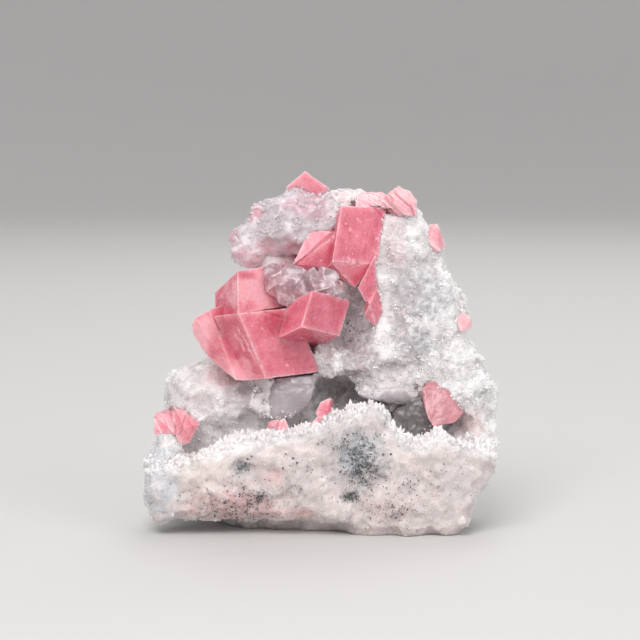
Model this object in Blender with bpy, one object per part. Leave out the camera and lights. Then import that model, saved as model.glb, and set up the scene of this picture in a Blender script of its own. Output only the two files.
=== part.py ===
"""Hand-sized cluster: pink rhombohedral crystals on a druse-coated quartz matrix.

Metres, +Z up, the toothed shelf faces -Y.  The stone rests on the flat break under
it.  All sizes in the tables are millimetres.
"""

import math

import bpy
import bmesh
from mathutils import Matrix, Vector, noise

MM = 0.001
GAP = 0.3                 # clearance round every piece that sits in a socket
MELT_GRID = 0.95          # grid that melts the lumps of stone into one mass
SKIN_GRID = 0.80          # grid of the broken and pitted mass
MATRIX_FACETS = 5400      # facets left on the matrix before its sockets are cut
BREAK_SIZE = 120.0        # side of the block that a plane of breakage removes
BASE_Z = -1.1             # level of the flat break underneath
KNOB_SIZE = 4.2           # size of the knobs of the druse
KNOB_HEIGHT = 1.0
GRAIN_SIZE = 1.9          # size of the grains between them
GRAIN_HEIGHT = 0.45
BACK_WEAR = 0.6           # how much less of both the broken back has
CLEAR_KNOBS = 0.5         # knobs of the glassy and of the milky masses
LOBE_KNOBS = 1.6
LUMP_GRID = 0.55          # grid of the smaller masses
CLEAR_FACETS = 460
LOBE_FACETS = 760
SEED = Vector((3.7, 11.2, 5.9))   # place in the noise that the knobs come from
ROUGHNESS = 0.45

# Lumps of quartz: centre, radii, turn about Y in degrees
LUMPS = {
    "foot_left": ((-23.2, -8.6, 7.2), (4.2, 5.6, 6.4), 0),
    "foot_right": ((21.8, -5.0, 10.4), (6.2, 8.0, 7.8), 0),
    "base_middle": ((0.0, -2.0, 4.4), (22.0, 12.0, 8.6), 0),
    "base_back_left": ((-12.0, 5.5, 6.5), (11.6, 9.2, 9.2), 0),
    "base_back_right": ((12.0, 6.5, 7.5), (12.6, 9.6, 10.2), 0),
    "hump": ((-15.9, -2.6, 17.2), (7.8, 6.4, 7.8), 0),
    "hump_left": ((-20.8, -2.2, 16.4), (4.3, 5.6, 7.2), 0),
    "hump_right": ((-8.6, -3.4, 17.0), (6.6, 5.4, 6.4), 0),
    "core_low": ((1.5, 3.6, 17.5), (13.0, 9.4, 12.6), 0),
    "core_left": ((-9.4, 0.4, 26.0), (5.6, 5.2, 6.6), 0),
    "core_high": ((-2.0, 3.6, 29.5), (8.2, 7.0, 10.2), 0),
    "saddle": ((-0.6, -2.0, 34.0), (5.0, 4.4, 4.4), 0),
    "wall_low": ((20.2, -1.2, 17.6), (7.8, 8.8, 9.0), 8),
    "wall_left": ((12.6, 0.8, 25.4), (7.4, 7.2, 7.6), 0),
    "wall_mid": ((16.1, 1.0, 28.2), (7.6, 8.0, 10.8), 10),
    "wall_high": ((12.2, 2.6, 38.4), (7.2, 6.6, 8.6), 10),
    "wall_crown": ((11.4, 4.4, 43.4), (6.2, 5.8, 5.8), 0),
    "crown_left": ((3.4, 4.4, 45.2), (7.6, 4.8, 6.2), 0),
    "shoulder": ((-6.0, 2.2, 37.6), (4.6, 4.6, 4.2), 0),
    "neck": ((2.8, 3.2, 36.0), (6.8, 6.0, 8.8), 0),
    "tuft": ((2.6, -6.0, 23.4), (2.4, 3.4, 3.6), 0),
    "tuft_low": ((7.6, -3.2, 23.6), (3.2, 4.4, 4.6), 0),
}

# Hollows behind the shelf, same layout
HOLLOWS = {
    "trench": ((-9.0, -8.8, 13.4), (12.0, 2.2, 3.4), 0),
    "pocket_mid": ((2.4, -6.2, 18.2), (5.2, 4.8, 4.4), 0),
    "pocket_right": ((13.6, -7.8, 16.0), (6.8, 5.4, 5.0), 0),
    "pocket_end": ((20.2, -10.2, 14.8), (3.8, 3.6, 2.6), 0),
}

# Front of the shelf: its outline seen from -Y, x and z, with the toothed rim on top
SHELF_FRONT = (
    (-25.4, 0.2), (-27.0, 5.0), (-26.6, 9.2), (-20.7, 10.2), (-16.5, 12.2), (-12.5, 14.0),
    (-8.5, 14.5), (-4.7, 14.8), (-1.5, 15.6), (1.3, 17.2), (4.7, 18.3), (8.1, 19.2),
    (10.3, 17.4), (11.3, 15.2), (12.6, 13.6), (15.6, 13.3), (17.7, 14.7), (21.5, 13.6),
    (25.7, 12.3), (27.2, 11.6), (25.6, 8.0), (23.6, 3.2), (22.4, -1.4),
    (4.0, -1.4), (0.5, 0.4), (-16.0, 0.8),
)
SHELF_Y = (-16.6, -14.2, -10.2)
SHELF_INSET = 2.0         # how far the front face stands in from the outline

# Bulges of the shelf's broken front, same layout as the lumps
SHELF_BULGES = {
    "left": ((-15.5, -12.4, 5.4), (6.6, 4.9, 5.2), 10),
    "middle": ((-2.5, -12.6, 6.2), (6.4, 5.0, 6.0), 0),
    "under_rim": ((7.6, -12.6, 10.4), (5.2, 5.0, 6.0), 0),
    "right": ((17.2, -12.0, 6.4), (6.0, 5.0, 5.4), 0),
    "end": ((23.2, -10.4, 8.0), (3.8, 5.0, 4.6), 0),
}

# Planes of broken stone: a point on each and the way it faces
BREAKS = (
    ((0.0, 12.8, 8.0), (0.06, 1.0, 0.10)),
    ((9.0, 9.6, 28.0), (0.32, 1.0, 0.20)),
    ((-6.0, 9.8, 24.0), (-0.24, 1.0, 0.30)),
    ((2.0, 8.2, 43.0), (-0.06, 1.0, 0.50)),
    ((17.5, 8.6, 12.0), (0.75, 1.0, 0.0)),
    ((-18.0, 7.8, 10.0), (-0.80, 1.0, 0.12)),
    ((28.4, 0.0, 14.0), (1.0, 0.16, 0.20)),
    ((25.0, -10.0, 4.0), (1.0, -0.2, -0.55)),
    ((24.8, 2.0, 28.0), (1.0, 0.20, 0.28)),
    ((-25.6, 2.0, 8.0), (-1.0, 0.35, 0.0)),
)

# Milky lumps that cap the stone on the left, same layout as the lumps
LOBES = {
    "upper": ((-3.6, 0.0, 44.6), (6.4, 5.6, 5.6), 0),
    "upper_left": ((-8.2, 0.4, 44.0), (3.8, 4.0, 4.6), 0),
    "upper_right": ((1.4, 0.6, 45.4), (3.2, 4.4, 4.0), 0),
    "left": ((-11.0, 0.6, 41.2), (3.7, 4.2, 4.2), 0),
}

# Glassy lumps on the main cluster
CLEAR_LUMPS = {
    "a": ((-6.9, -7.4, 36.7), (2.2, 2.4, 2.2), 0),
    "b": ((-4.9, -7.9, 35.4), (2.0, 2.2, 2.4), 20),
    "c": ((-2.5, -7.4, 36.7), (2.0, 2.4, 2.2), 0),
    "d": ((-0.4, -7.0, 36.8), (2.1, 2.4, 2.2), 0),
    "e": ((1.7, -6.4, 36.0), (1.8, 2.2, 1.9), 0),
    "f": ((1.6, -7.8, 34.7), (1.3, 1.6, 1.5), 30),
}

# Rhombs: a corner and the three edges that leave it
MAIN_RHOMBS = (
    ((-12.1, -13.0, 32.2), (8.2, 4.8, 0.4), (4.0, 1.4, -10.0), (-3.8, 2.8, -0.7)),
    ((-12.3, -11.0, 38.4), (0.1, -1.9, -6.3), (-3.7, 6.5, -3.9), (7.0, 7.1, 0.5)),
    ((-2.7, -15.0, 30.4), (1.6, 2.1, 5.2), (5.7, 6.3, -2.1), (-3.6, 4.4, -2.2)),
)
UPPER_RHOMBS = (
    ((1.9, -7.0, 39.4), (1.4, 2.5, 8.4), (7.0, 4.4, -0.6), (-1.4, 4.0, -2.1)),
)
TOP_RHOMBS = (
    ((-2.3, 0.6, 52.9), (-3.0, 0.3, -2.6), (3.8, 0.5, -2.7), (0.0, 3.6, -1.2)),
)

# Flat-faced pieces: the way they run into the rock, then the corners of their front
MAIN_SIDE = (
    (2.4, 4.2, 0.6),
    (-16.6, -9.6, 32.4), (-18.9, -9.0, 31.1), (-19.4, -8.4, 29.9), (-19.1, -8.2, 28.4),
    (-17.6, -8.6, 26.0), (-16.2, -9.4, 24.5), (-12.6, -11.0, 21.9), (-10.0, -9.0, 21.6),
)
UPPER_TIP = (
    (0.3, 5.0, 0.6),
    (1.9, -6.7, 39.2), (0.7, -5.6, 38.3), (5.4, -4.0, 35.2), (8.9, -2.9, 38.9),
)
UPPER_UNDER = (
    (0.4, 4.6, -0.4),
    (8.6, -2.9, 40.4), (5.8, -6.0, 35.4), (7.0, -5.2, 33.1), (8.8, -3.2, 34.8),
)
UPPER_LOW = (
    (0.6, 4.0, 0.2),
    (7.0, -4.2, 33.8), (8.9, -2.8, 35.2), (9.7, -2.6, 31.4), (8.6, -3.6, 29.1),
    (6.8, -4.8, 30.9), (7.6, -5.8, 32.9),
)
UPPER_BLADE = (
    (0.6, 3.6, 0.4),
    (-1.4, -4.0, 44.2), (3.2, -3.4, 43.9), (3.0, -4.6, 43.6), (-4.1, -7.0, 39.1),
    (-3.6, -6.4, 38.1), (2.0, -5.0, 38.4),
)
CLEAVED_LEFT = (
    (0.2, 4.6, -2.4),
    (5.4, 0.5, 48.7), (6.5, 2.5, 49.7), (10.0, 3.0, 49.5), (10.5, -1.2, 47.4),
    (5.5, -1.0, 47.4), (12.3, -0.4, 47.0),
)
CLEAVED_RIGHT = (
    (-2.6, 3.6, -2.0),
    (10.2, 1.0, 49.1), (12.2, 2.4, 50.5), (14.2, 2.8, 49.7), (15.1, 2.2, 48.4),
    (15.2, 0.6, 45.6), (12.9, -1.6, 46.4), (11.4, -1.4, 48.2),
)
EDGE_LEFT = (
    (1.6, 3.4, 0.2),
    (-25.3, -8.6, 16.4), (-21.7, -7.8, 16.8), (-25.2, -9.6, 13.3), (-21.8, -10.3, 13.3),
    (-20.6, -8.8, 16.6),
)
EDGE_RIGHT = (
    (-1.0, 3.0, 1.0),
    (-19.9, -9.0, 16.3), (-18.2, -9.2, 14.9), (-19.5, -10.6, 12.3), (-20.9, -11.0, 11.8),
    (-21.8, -10.8, 13.4), (-20.4, -11.4, 14.6), (-21.6, -9.2, 16.7),
)
SHELF_SMALL_LEFT = (
    (0.2, 1.6, -1.2),
    (-8.0, -13.0, 14.3), (-7.8, -13.0, 15.9), (-6.2, -12.8, 16.2), (-6.2, -13.4, 14.4),
    (-6.9, -14.2, 15.4),
)
SHELF_SMALL_RIGHT = (
    (0.0, 1.6, -1.2),
    (-6.5, -12.7, 15.8), (-5.3, -12.4, 16.3), (-4.5, -12.8, 14.8), (-6.2, -13.7, 14.3),
)
SHELF_TALL = (
    (0.3, 2.4, -0.6),
    (-0.7, -12.2, 17.0), (0.1, -12.0, 18.7), (1.7, -11.4, 19.3), (1.9, -11.2, 16.6),
    (0.5, -12.8, 15.4),
)
SHELF_TALL_FOOT = (
    (0.4, 2.2, -0.4),
    (-2.0, -12.9, 14.7), (-0.5, -12.6, 16.5), (0.8, -12.6, 16.4), (-1.0, -13.2, 14.2),
)
POCKET_PINK = (
    (1.2, 4.6, 0.8),
    (15.6, -9.2, 20.3), (17.0, -8.2, 21.4), (19.4, -9.5, 19.9), (21.4, -11.0, 16.5),
    (20.4, -11.2, 15.4), (17.1, -11.7, 14.8), (16.3, -11.2, 16.1), (15.6, -9.8, 18.5),
)
EDGE_HIGH = (
    (-2.6, 2.4, -0.6),
    (16.4, 0.6, 43.2), (18.3, 2.0, 44.8), (18.9, 2.0, 43.6), (19.7, 1.8, 40.7),
    (18.5, -0.8, 40.6), (16.9, -1.0, 41.8),
)
EDGE_SMALL = (
    (-2.0, 2.0, 0.0),
    (20.7, -4.6, 30.9), (22.2, -3.6, 31.4), (23.4, -3.2, 30.4), (23.4, -3.4, 28.8),
    (21.8, -5.2, 28.6),
)
GREY_PLATE = (
    (0.6, 4.4, 1.6),
    (-9.9, -8.6, 21.4), (-0.3, -8.0, 22.2), (-0.6, -8.8, 21.0), (-1.3, -9.3, 19.2),
    (-1.7, -9.2, 17.3), (-5.0, -9.4, 15.6), (-7.9, -9.2, 15.4), (-10.6, -9.0, 17.8),
)
GREY_POCKET = (
    (0.4, 4.8, 0.4),
    (11.0, -6.2, 16.5), (13.0, -6.2, 17.8), (15.4, -6.8, 18.8), (16.6, -7.6, 15.6),
    (17.4, -8.0, 14.1), (15.5, -8.6, 12.0), (14.0, -8.6, 11.4), (12.2, -8.0, 12.0),
    (11.4, -7.0, 14.0),
)
GREY_BULGE = (
    (0.4, 4.0, 1.0),
    (4.7, -5.2, 21.6), (10.7, -5.6, 22.0), (15.2, -6.0, 20.0), (13.6, -6.8, 17.4),
    (9.1, -7.4, 18.1), (6.0, -6.6, 18.6),
)

# The flat-faced pieces: the rhombs and the other bodies of each
CRYSTALS = {
    "main_rhomb_cluster": (MAIN_RHOMBS, (MAIN_SIDE,)),
    "upper_rhomb_cluster": (
        UPPER_RHOMBS, (UPPER_TIP, UPPER_UNDER, UPPER_LOW, UPPER_BLADE)),
    "top_crystal": (TOP_RHOMBS, ()),
    "left_edge_crystals": ((), (EDGE_LEFT, EDGE_RIGHT)),
    "shelf_crystal_small": ((), (SHELF_SMALL_LEFT, SHELF_SMALL_RIGHT)),
    "shelf_crystal_tall": ((), (SHELF_TALL, SHELF_TALL_FOOT)),
    "pocket_pink_crystal": ((), (POCKET_PINK,)),
    "right_edge_crystal": ((), (EDGE_HIGH,)),
    "right_face_crystal": ((), (EDGE_SMALL,)),
}

# The ones that grew first, which the others are set into
EARLY_CRYSTALS = {
    "top_cleaved_mass": ((), (CLEAVED_LEFT, CLEAVED_RIGHT)),
    "grey_crystal_plate": ((), (GREY_PLATE,)),
    "grey_pocket_crystals": ((), (GREY_POCKET, GREY_BULGE)),
}

# Base colours, linear
PINK = (0.72, 0.14, 0.19)
PALE_PINK = (0.80, 0.40, 0.43)
WHITE = (0.72, 0.67, 0.65)
GREY = (0.40, 0.36, 0.38)
CLEAR = (0.70, 0.55, 0.60)
COLOURS = {
    "quartz_matrix": WHITE,
    "milky_quartz_lobes": (0.62, 0.54, 0.57),
    "clear_crystals": CLEAR,
    "grey_crystal_plate": GREY,
    "grey_pocket_crystals": GREY,
    "main_rhomb_cluster": PINK,
    "upper_rhomb_cluster": PINK,
    "top_crystal": PINK,
    "top_cleaved_mass": PALE_PINK,
    "left_edge_crystals": PALE_PINK,
    "shelf_crystal_small": PALE_PINK,
    "shelf_crystal_tall": PALE_PINK,
    "pocket_pink_crystal": PALE_PINK,
    "right_edge_crystal": PALE_PINK,
    "right_face_crystal": PALE_PINK,
}


def new_object(name, bm):
    """Closes a bmesh into an object of its own, facing out."""
    bmesh.ops.recalc_face_normals(bm, faces=bm.faces)
    mesh = bpy.data.meshes.new(name)
    bm.to_mesh(mesh)
    bm.free()
    obj = bpy.data.objects.new(name, mesh)
    bpy.context.scene.collection.objects.link(obj)
    return obj


def settle(obj):
    """Applies the modifiers of an object to its own mesh."""
    depsgraph = bpy.context.evaluated_depsgraph_get()
    mesh = bpy.data.meshes.new_from_object(obj.evaluated_get(depsgraph))
    mesh.name = obj.name
    obj.modifiers.clear()
    obj.data = mesh


def melt(obj, grid):
    """Turns overlapping lumps into one closed skin."""
    mod = obj.modifiers.new("melt", "REMESH")
    mod.mode = "VOXEL"
    mod.voxel_size = grid * MM
    settle(obj)


def combine(obj, others, operation):
    """Joins other closed bodies to an object, or cuts them from it."""
    for other in others:
        mod = obj.modifiers.new(operation, "BOOLEAN")
        mod.operation = operation
        mod.solver = "EXACT"
        mod.object = other
        settle(obj)
        bpy.data.objects.remove(other, do_unlink=True)


def add_lump(bm, centre, radii, turn):
    """One ellipsoid of stone."""
    place = Matrix.Translation([c * MM for c in centre])
    place = place @ Matrix.Rotation(math.radians(turn), 4, "Y")
    place = place @ Matrix.Diagonal([r * MM for r in radii] + [1.0])
    bmesh.ops.create_icosphere(bm, subdivisions=3, radius=1.0, matrix=place)


def lump_object(name, table):
    """All the lumps of a table, overlapping, as one object."""
    bm = bmesh.new()
    for centre, radii, turn in table.values():
        add_lump(bm, centre, radii, turn)
    return new_object(name, bm)


def rhomb_corners(rhomb, grow):
    """The eight corners of a rhomb whose faces have moved out by grow."""
    corner, *edges = [Vector(v) for v in rhomb]
    ratios = []
    for i in range(3):
        normal = edges[(i + 1) % 3].cross(edges[(i + 2) % 3]).normalized()
        ratios.append(grow / abs(edges[i].dot(normal)))
    start = corner.copy()
    for edge, ratio in zip(edges, ratios):
        start -= edge * ratio
    grown = [edge * (1.0 + 2.0 * ratio) for edge, ratio in zip(edges, ratios)]
    points = []
    for bits in range(8):
        point = start.copy()
        for i in range(3):
            if bits >> i & 1:
                point += grown[i]
        points.append(point)
    return points


def hull_corners(piece, grow):
    """The corners of a flat-faced piece, swollen about its middle by grow."""
    inward, *front = [Vector(c) for c in piece]
    points = front + [p + inward for p in front]
    if not grow:
        return points
    middle = sum(points, Vector()) / len(points)
    bm = hull_mesh(points)
    near = min(abs((f.verts[0].co / MM - middle).dot(f.normal)) for f in bm.faces)
    bm.free()
    return [middle + (p - middle) * (1.0 + grow / near) for p in points]


def hull_mesh(points):
    """The convex body round some points."""
    bm = bmesh.new()
    verts = [bm.verts.new(p * MM) for p in points]
    result = bmesh.ops.convex_hull(bm, input=verts)
    inside = [g for g in result["geom_interior"] if isinstance(g, bmesh.types.BMVert)]
    bmesh.ops.delete(bm, geom=inside, context="VERTS")
    bmesh.ops.recalc_face_normals(bm, faces=bm.faces)
    return bm


def crystal(name, rhombs, hulls, grow=0.0):
    """Rhombs and flat-faced pieces grown through each other, as one body."""
    bodies = [hull_mesh(rhomb_corners(r, grow)) for r in rhombs]
    bodies += [hull_mesh(hull_corners(h, grow)) for h in hulls]
    objects = [new_object(name, bm) for bm in bodies]
    combine(objects[0], objects[1:], "UNION")
    return objects[0]


def inset_outline(outline, distance):
    """The outline moved inwards, corner by corner."""
    moved = []
    count = len(outline)
    for i in range(count):
        before, here, after = [
            Vector(outline[(i + step) % count]) for step in (-1, 0, 1)]
        along = (here - before).normalized() + (after - here).normalized()
        inward = Vector((-along.y, along.x)).normalized()
        moved.append(here - inward * distance)
    return moved


def shelf_slab():
    """The shelf's front: its outline as a slab with a chamfered face."""
    bm = bmesh.new()
    rings = [inset_outline(SHELF_FRONT, SHELF_INSET), SHELF_FRONT, SHELF_FRONT]
    loops = []
    for ring, y in zip(rings, SHELF_Y):
        loops.append([bm.verts.new((x * MM, y * MM, z * MM)) for x, z in ring])
    for near, far in zip(loops, loops[1:]):
        for i in range(len(near)):
            j = (i + 1) % len(near)
            bm.faces.new((near[i], near[j], far[j], far[i]))
    ends = [bm.faces.new(loops[0]), bm.faces.new(loops[-1])]
    bmesh.ops.triangulate(bm, faces=ends)
    return new_object("shelf", bm)


def break_block(point, facing):
    """A block whose face is one plane of breakage."""
    turn = Vector((0.0, 0.0, 1.0)).rotation_difference(Vector(facing))
    place = Matrix.Translation(Vector(point) * MM) @ turn.to_matrix().to_4x4()
    place = place @ Matrix.Translation((0.0, 0.0, BREAK_SIZE * MM / 2))
    bm = bmesh.new()
    bmesh.ops.create_cube(bm, size=BREAK_SIZE * MM, matrix=place)
    return new_object("break", bm)


def roughen(obj, knobs, grains):
    """Knobs and grains over the whole skin."""
    mesh = obj.data
    normals = [v.normal.copy() for v in mesh.vertices]
    for vert, normal in zip(mesh.vertices, normals):
        place = vert.co / MM
        fresh = 1.0 - BACK_WEAR * max(0.0, normal.y)
        cell = noise.voronoi(place / KNOB_SIZE + SEED)[0][0]
        knob = (0.45 - cell) * knobs
        grain = noise.fractal(place / GRAIN_SIZE + SEED, 0.9, 2.1, 3) * grains
        vert.co += normal * (knob + grain) * fresh * MM


def thin(obj, facets):
    """Fewer, larger facets."""
    obj.data.calc_loop_triangles()
    mod = obj.modifiers.new("thin", "DECIMATE")
    mod.ratio = facets / len(obj.data.loop_triangles)
    settle(obj)


def keep_largest(obj):
    """Drops the crumbs that a cut has left loose."""
    bm = bmesh.new()
    bm.from_mesh(obj.data)
    left = set(bm.verts)
    bodies = []
    while left:
        found = {left.pop()}
        edge = list(found)
        while edge:
            vert = edge.pop()
            for link in vert.link_edges:
                other = link.other_vert(vert)
                if other in left:
                    left.remove(other)
                    found.add(other)
                    edge.append(other)
        bodies.append(found)
    bodies.sort(key=len)
    crumbs = [v for body in bodies[:-1] for v in body]
    bmesh.ops.delete(bm, geom=crumbs, context="VERTS")
    bm.to_mesh(obj.data)
    bm.free()


def swollen(obj, grow):
    """A copy of a lumpy piece whose skin has moved out by grow."""
    copy = bpy.data.objects.new("socket", obj.data.copy())
    bpy.context.scene.collection.objects.link(copy)
    normals = [v.normal.copy() for v in obj.data.vertices]
    for vert, normal in zip(copy.data.vertices, normals):
        vert.co += normal * grow * MM
    return copy


def matrix_body():
    """The quartz: melted lumps, hollowed, with its shelf, broken and knobbly."""
    body = lump_object("quartz_matrix", LUMPS)
    melt(body, MELT_GRID)
    holes = lump_object("hollows", HOLLOWS)
    melt(holes, MELT_GRID)
    combine(body, [holes], "DIFFERENCE")
    bulges = lump_object("bulges", SHELF_BULGES)
    melt(bulges, MELT_GRID)
    combine(body, [shelf_slab(), bulges], "UNION")
    melt(body, SKIN_GRID)
    combine(body, [break_block(*plane) for plane in BREAKS], "DIFFERENCE")
    melt(body, SKIN_GRID)
    roughen(body, KNOB_HEIGHT, GRAIN_HEIGHT)
    thin(body, MATRIX_FACETS)
    combine(body, [break_block((0.0, 0.0, BASE_Z), (0.0, 0.0, -1.0))], "DIFFERENCE")
    return body


def lump_body(name, lumps, knobs, facets):
    """A small mass of lumps with a knobbly skin."""
    body = lump_object(name, lumps)
    melt(body, LUMP_GRID)
    roughen(body, knobs, GRAIN_HEIGHT)
    thin(body, facets)
    return body


def seat(stones, name, bodies):
    """Grows a flat-faced piece into a socket in every stone that it meets."""
    for stone in stones:
        combine(stone, [crystal("socket", *bodies, grow=GAP)], "DIFFERENCE")
    return crystal(name, *bodies)


def settle_on_ground(objects):
    """Centres the whole on the origin, its flat break at height zero."""
    spots = [v.co for obj in objects for v in obj.data.vertices]
    low = [min(s[i] for s in spots) for i in range(3)]
    high = [max(s[i] for s in spots) for i in range(3)]
    shift = Vector(((low[0] + high[0]) / 2, (low[1] + high[1]) / 2, low[2]))
    for obj in objects:
        obj.data.transform(Matrix.Translation(-shift))


def paint(obj):
    """A material of its own for each sub-part."""
    material = bpy.data.materials.new(obj.name)
    material.use_nodes = True
    shader = material.node_tree.nodes["Principled BSDF"]
    shader.inputs["Base Color"].default_value = (*COLOURS[obj.name], 1.0)
    shader.inputs["Roughness"].default_value = ROUGHNESS
    obj.data.materials.clear()
    obj.data.materials.append(material)


def main():
    for obj in list(bpy.data.objects):
        bpy.data.objects.remove(obj, do_unlink=True)
    matrix = matrix_body()
    lobes = lump_body("milky_quartz_lobes", LOBES, LOBE_KNOBS, LOBE_FACETS)
    clear = lump_body("clear_crystals", CLEAR_LUMPS, CLEAR_KNOBS, CLEAR_FACETS)
    combine(matrix, [swollen(lobes, GAP), swollen(clear, GAP)], "DIFFERENCE")
    combine(lobes, [swollen(clear, GAP)], "DIFFERENCE")
    stones = [matrix, lobes, clear]
    for name, bodies in EARLY_CRYSTALS.items():
        stones.append(seat([matrix], name, bodies))
    for name, bodies in CRYSTALS.items():
        seat(stones, name, bodies)
    for stone in stones:
        keep_largest(stone)
    settle_on_ground(list(bpy.data.objects))
    for obj in bpy.data.objects:
        paint(obj)


main()
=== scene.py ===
"""Looks of a mineral specimen: pink rhombohedral crystals on druse-coated quartz.

Every piece is dressed round the solids of the frame.  Metres, +Z up, the toothed
shelf faces -Y.  Sizes in the tables are millimetres.
"""

import math

import bmesh
import bpy
import numpy as np
from bpy.props import FloatProperty, FloatVectorProperty, PointerProperty
from mathutils import Matrix, Vector, noise
from mathutils.bvhtree import BVHTree


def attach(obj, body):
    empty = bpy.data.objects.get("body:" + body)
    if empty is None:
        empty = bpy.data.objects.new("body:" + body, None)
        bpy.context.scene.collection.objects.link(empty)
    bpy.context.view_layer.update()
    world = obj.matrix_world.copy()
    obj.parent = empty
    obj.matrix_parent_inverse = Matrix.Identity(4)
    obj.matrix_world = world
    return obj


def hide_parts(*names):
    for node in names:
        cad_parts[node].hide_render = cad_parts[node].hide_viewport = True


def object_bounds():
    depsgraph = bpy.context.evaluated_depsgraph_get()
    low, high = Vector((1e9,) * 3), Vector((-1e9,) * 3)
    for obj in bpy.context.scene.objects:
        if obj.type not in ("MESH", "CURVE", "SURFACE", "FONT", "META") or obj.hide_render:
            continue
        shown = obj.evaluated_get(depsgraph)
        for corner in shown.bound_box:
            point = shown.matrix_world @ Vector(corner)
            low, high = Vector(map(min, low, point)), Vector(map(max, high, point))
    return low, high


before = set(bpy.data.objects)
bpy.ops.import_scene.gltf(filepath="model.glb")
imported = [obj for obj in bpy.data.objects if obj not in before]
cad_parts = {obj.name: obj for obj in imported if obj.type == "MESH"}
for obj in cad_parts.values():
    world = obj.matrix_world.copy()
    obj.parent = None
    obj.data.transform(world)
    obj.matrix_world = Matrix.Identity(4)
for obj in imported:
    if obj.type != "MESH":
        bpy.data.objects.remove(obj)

bl_info = {
    "name": "Rhodochrosite on Quartz",
    "version": (1, 0, 0),
    "blender": (4, 5, 0),
    "location": "3D View > Sidebar > Specimen",
    "description": "Dresses the solids of a rhodochrosite and quartz specimen",
    "category": "Add Mesh",
}

MM = 0.001
BODY = "root"
SOLIDS_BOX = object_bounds()
SEED = 4127
REFINE_ROUNDS = 6

# Points and grains: how many, how closely they stand, how many make one piece
TOOTH_COUNT = 620
MILKY_POINT_COUNT = 400
DRUSE_COVER = 0.42
SUGAR_COVER = 0.4
DRUSE_A_PIECE = 7500
SUGAR_A_PIECE = 15000
FROST_SPACE = 0.16
GRAIN_SIZES = (0.08, 0.11, 0.15, 0.22)

# Floor, in metres: its flat part, the bend at its edge, its height
BOWL_FLAT = 0.8
BOWL_BEND = 0.5
BOWL_HEIGHT = 1.1
BOWL_STEPS = 12

# Camera and light, in metres
CAMERA_TARGET = (-0.0002, 0.0019, 0.03094)
SENSOR_WIDTH = 36.0
NEAREST = 0.01
SKY_COLOUR = (0.80, 0.81, 0.83, 1.0)
SKY_STRENGTH = 0.80
# Lamps: place, what each points at, size, power, colour
LAMPS = {
    "key": ((-0.15, -0.46, 0.52), (0.0, 0.0, 0.02), 0.42, 3.25, (1.0, 0.985, 0.97)),
    "fill": ((0.50, -0.44, 0.30), (0.0, 0.0, 0.03), 0.50, 1.4, (0.97, 0.98, 1.0)),
    "back": ((0.10, 0.44, 0.56), (0.0, 0.0, 0.03), 0.40, 1.5, (1.0, 1.0, 1.0)),
}

PINK_NODES = (
    "main_rhomb_cluster", "upper_rhomb_cluster", "top_crystal", "top_cleaved_mass",
    "left_edge_crystals", "shelf_crystal_small", "shelf_crystal_tall",
    "pocket_pink_crystal", "right_edge_crystal", "right_face_crystal",
)
FAINT_NODES = ("top_cleaved_mass", "right_edge_crystal", "right_face_crystal")
GREY_NODES = ("grey_crystal_plate", "grey_pocket_crystals")

# Toothed rim of the shelf, x and z
RIM = (
    (-26.8, 10.3), (-20.9, 11.3), (-16.7, 13.3), (-12.7, 15.1), (-8.7, 15.6),
    (-4.9, 15.9), (-1.7, 16.7), (1.1, 18.3), (4.5, 19.4), (7.9, 20.3), (10.1, 18.5),
    (11.1, 16.3), (12.4, 14.7), (15.4, 14.4), (17.5, 15.8), (21.3, 14.7),
    (25.5, 13.4), (27.0, 12.7),
)

# Where in y a stain or a patch of painted shade or light starts and ends
ANYWHERE = (-20.0, 20.0)
ON_FRONT = (-20.0, -6.0)
IN_POCKET = (-7.0, 20.0)
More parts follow.
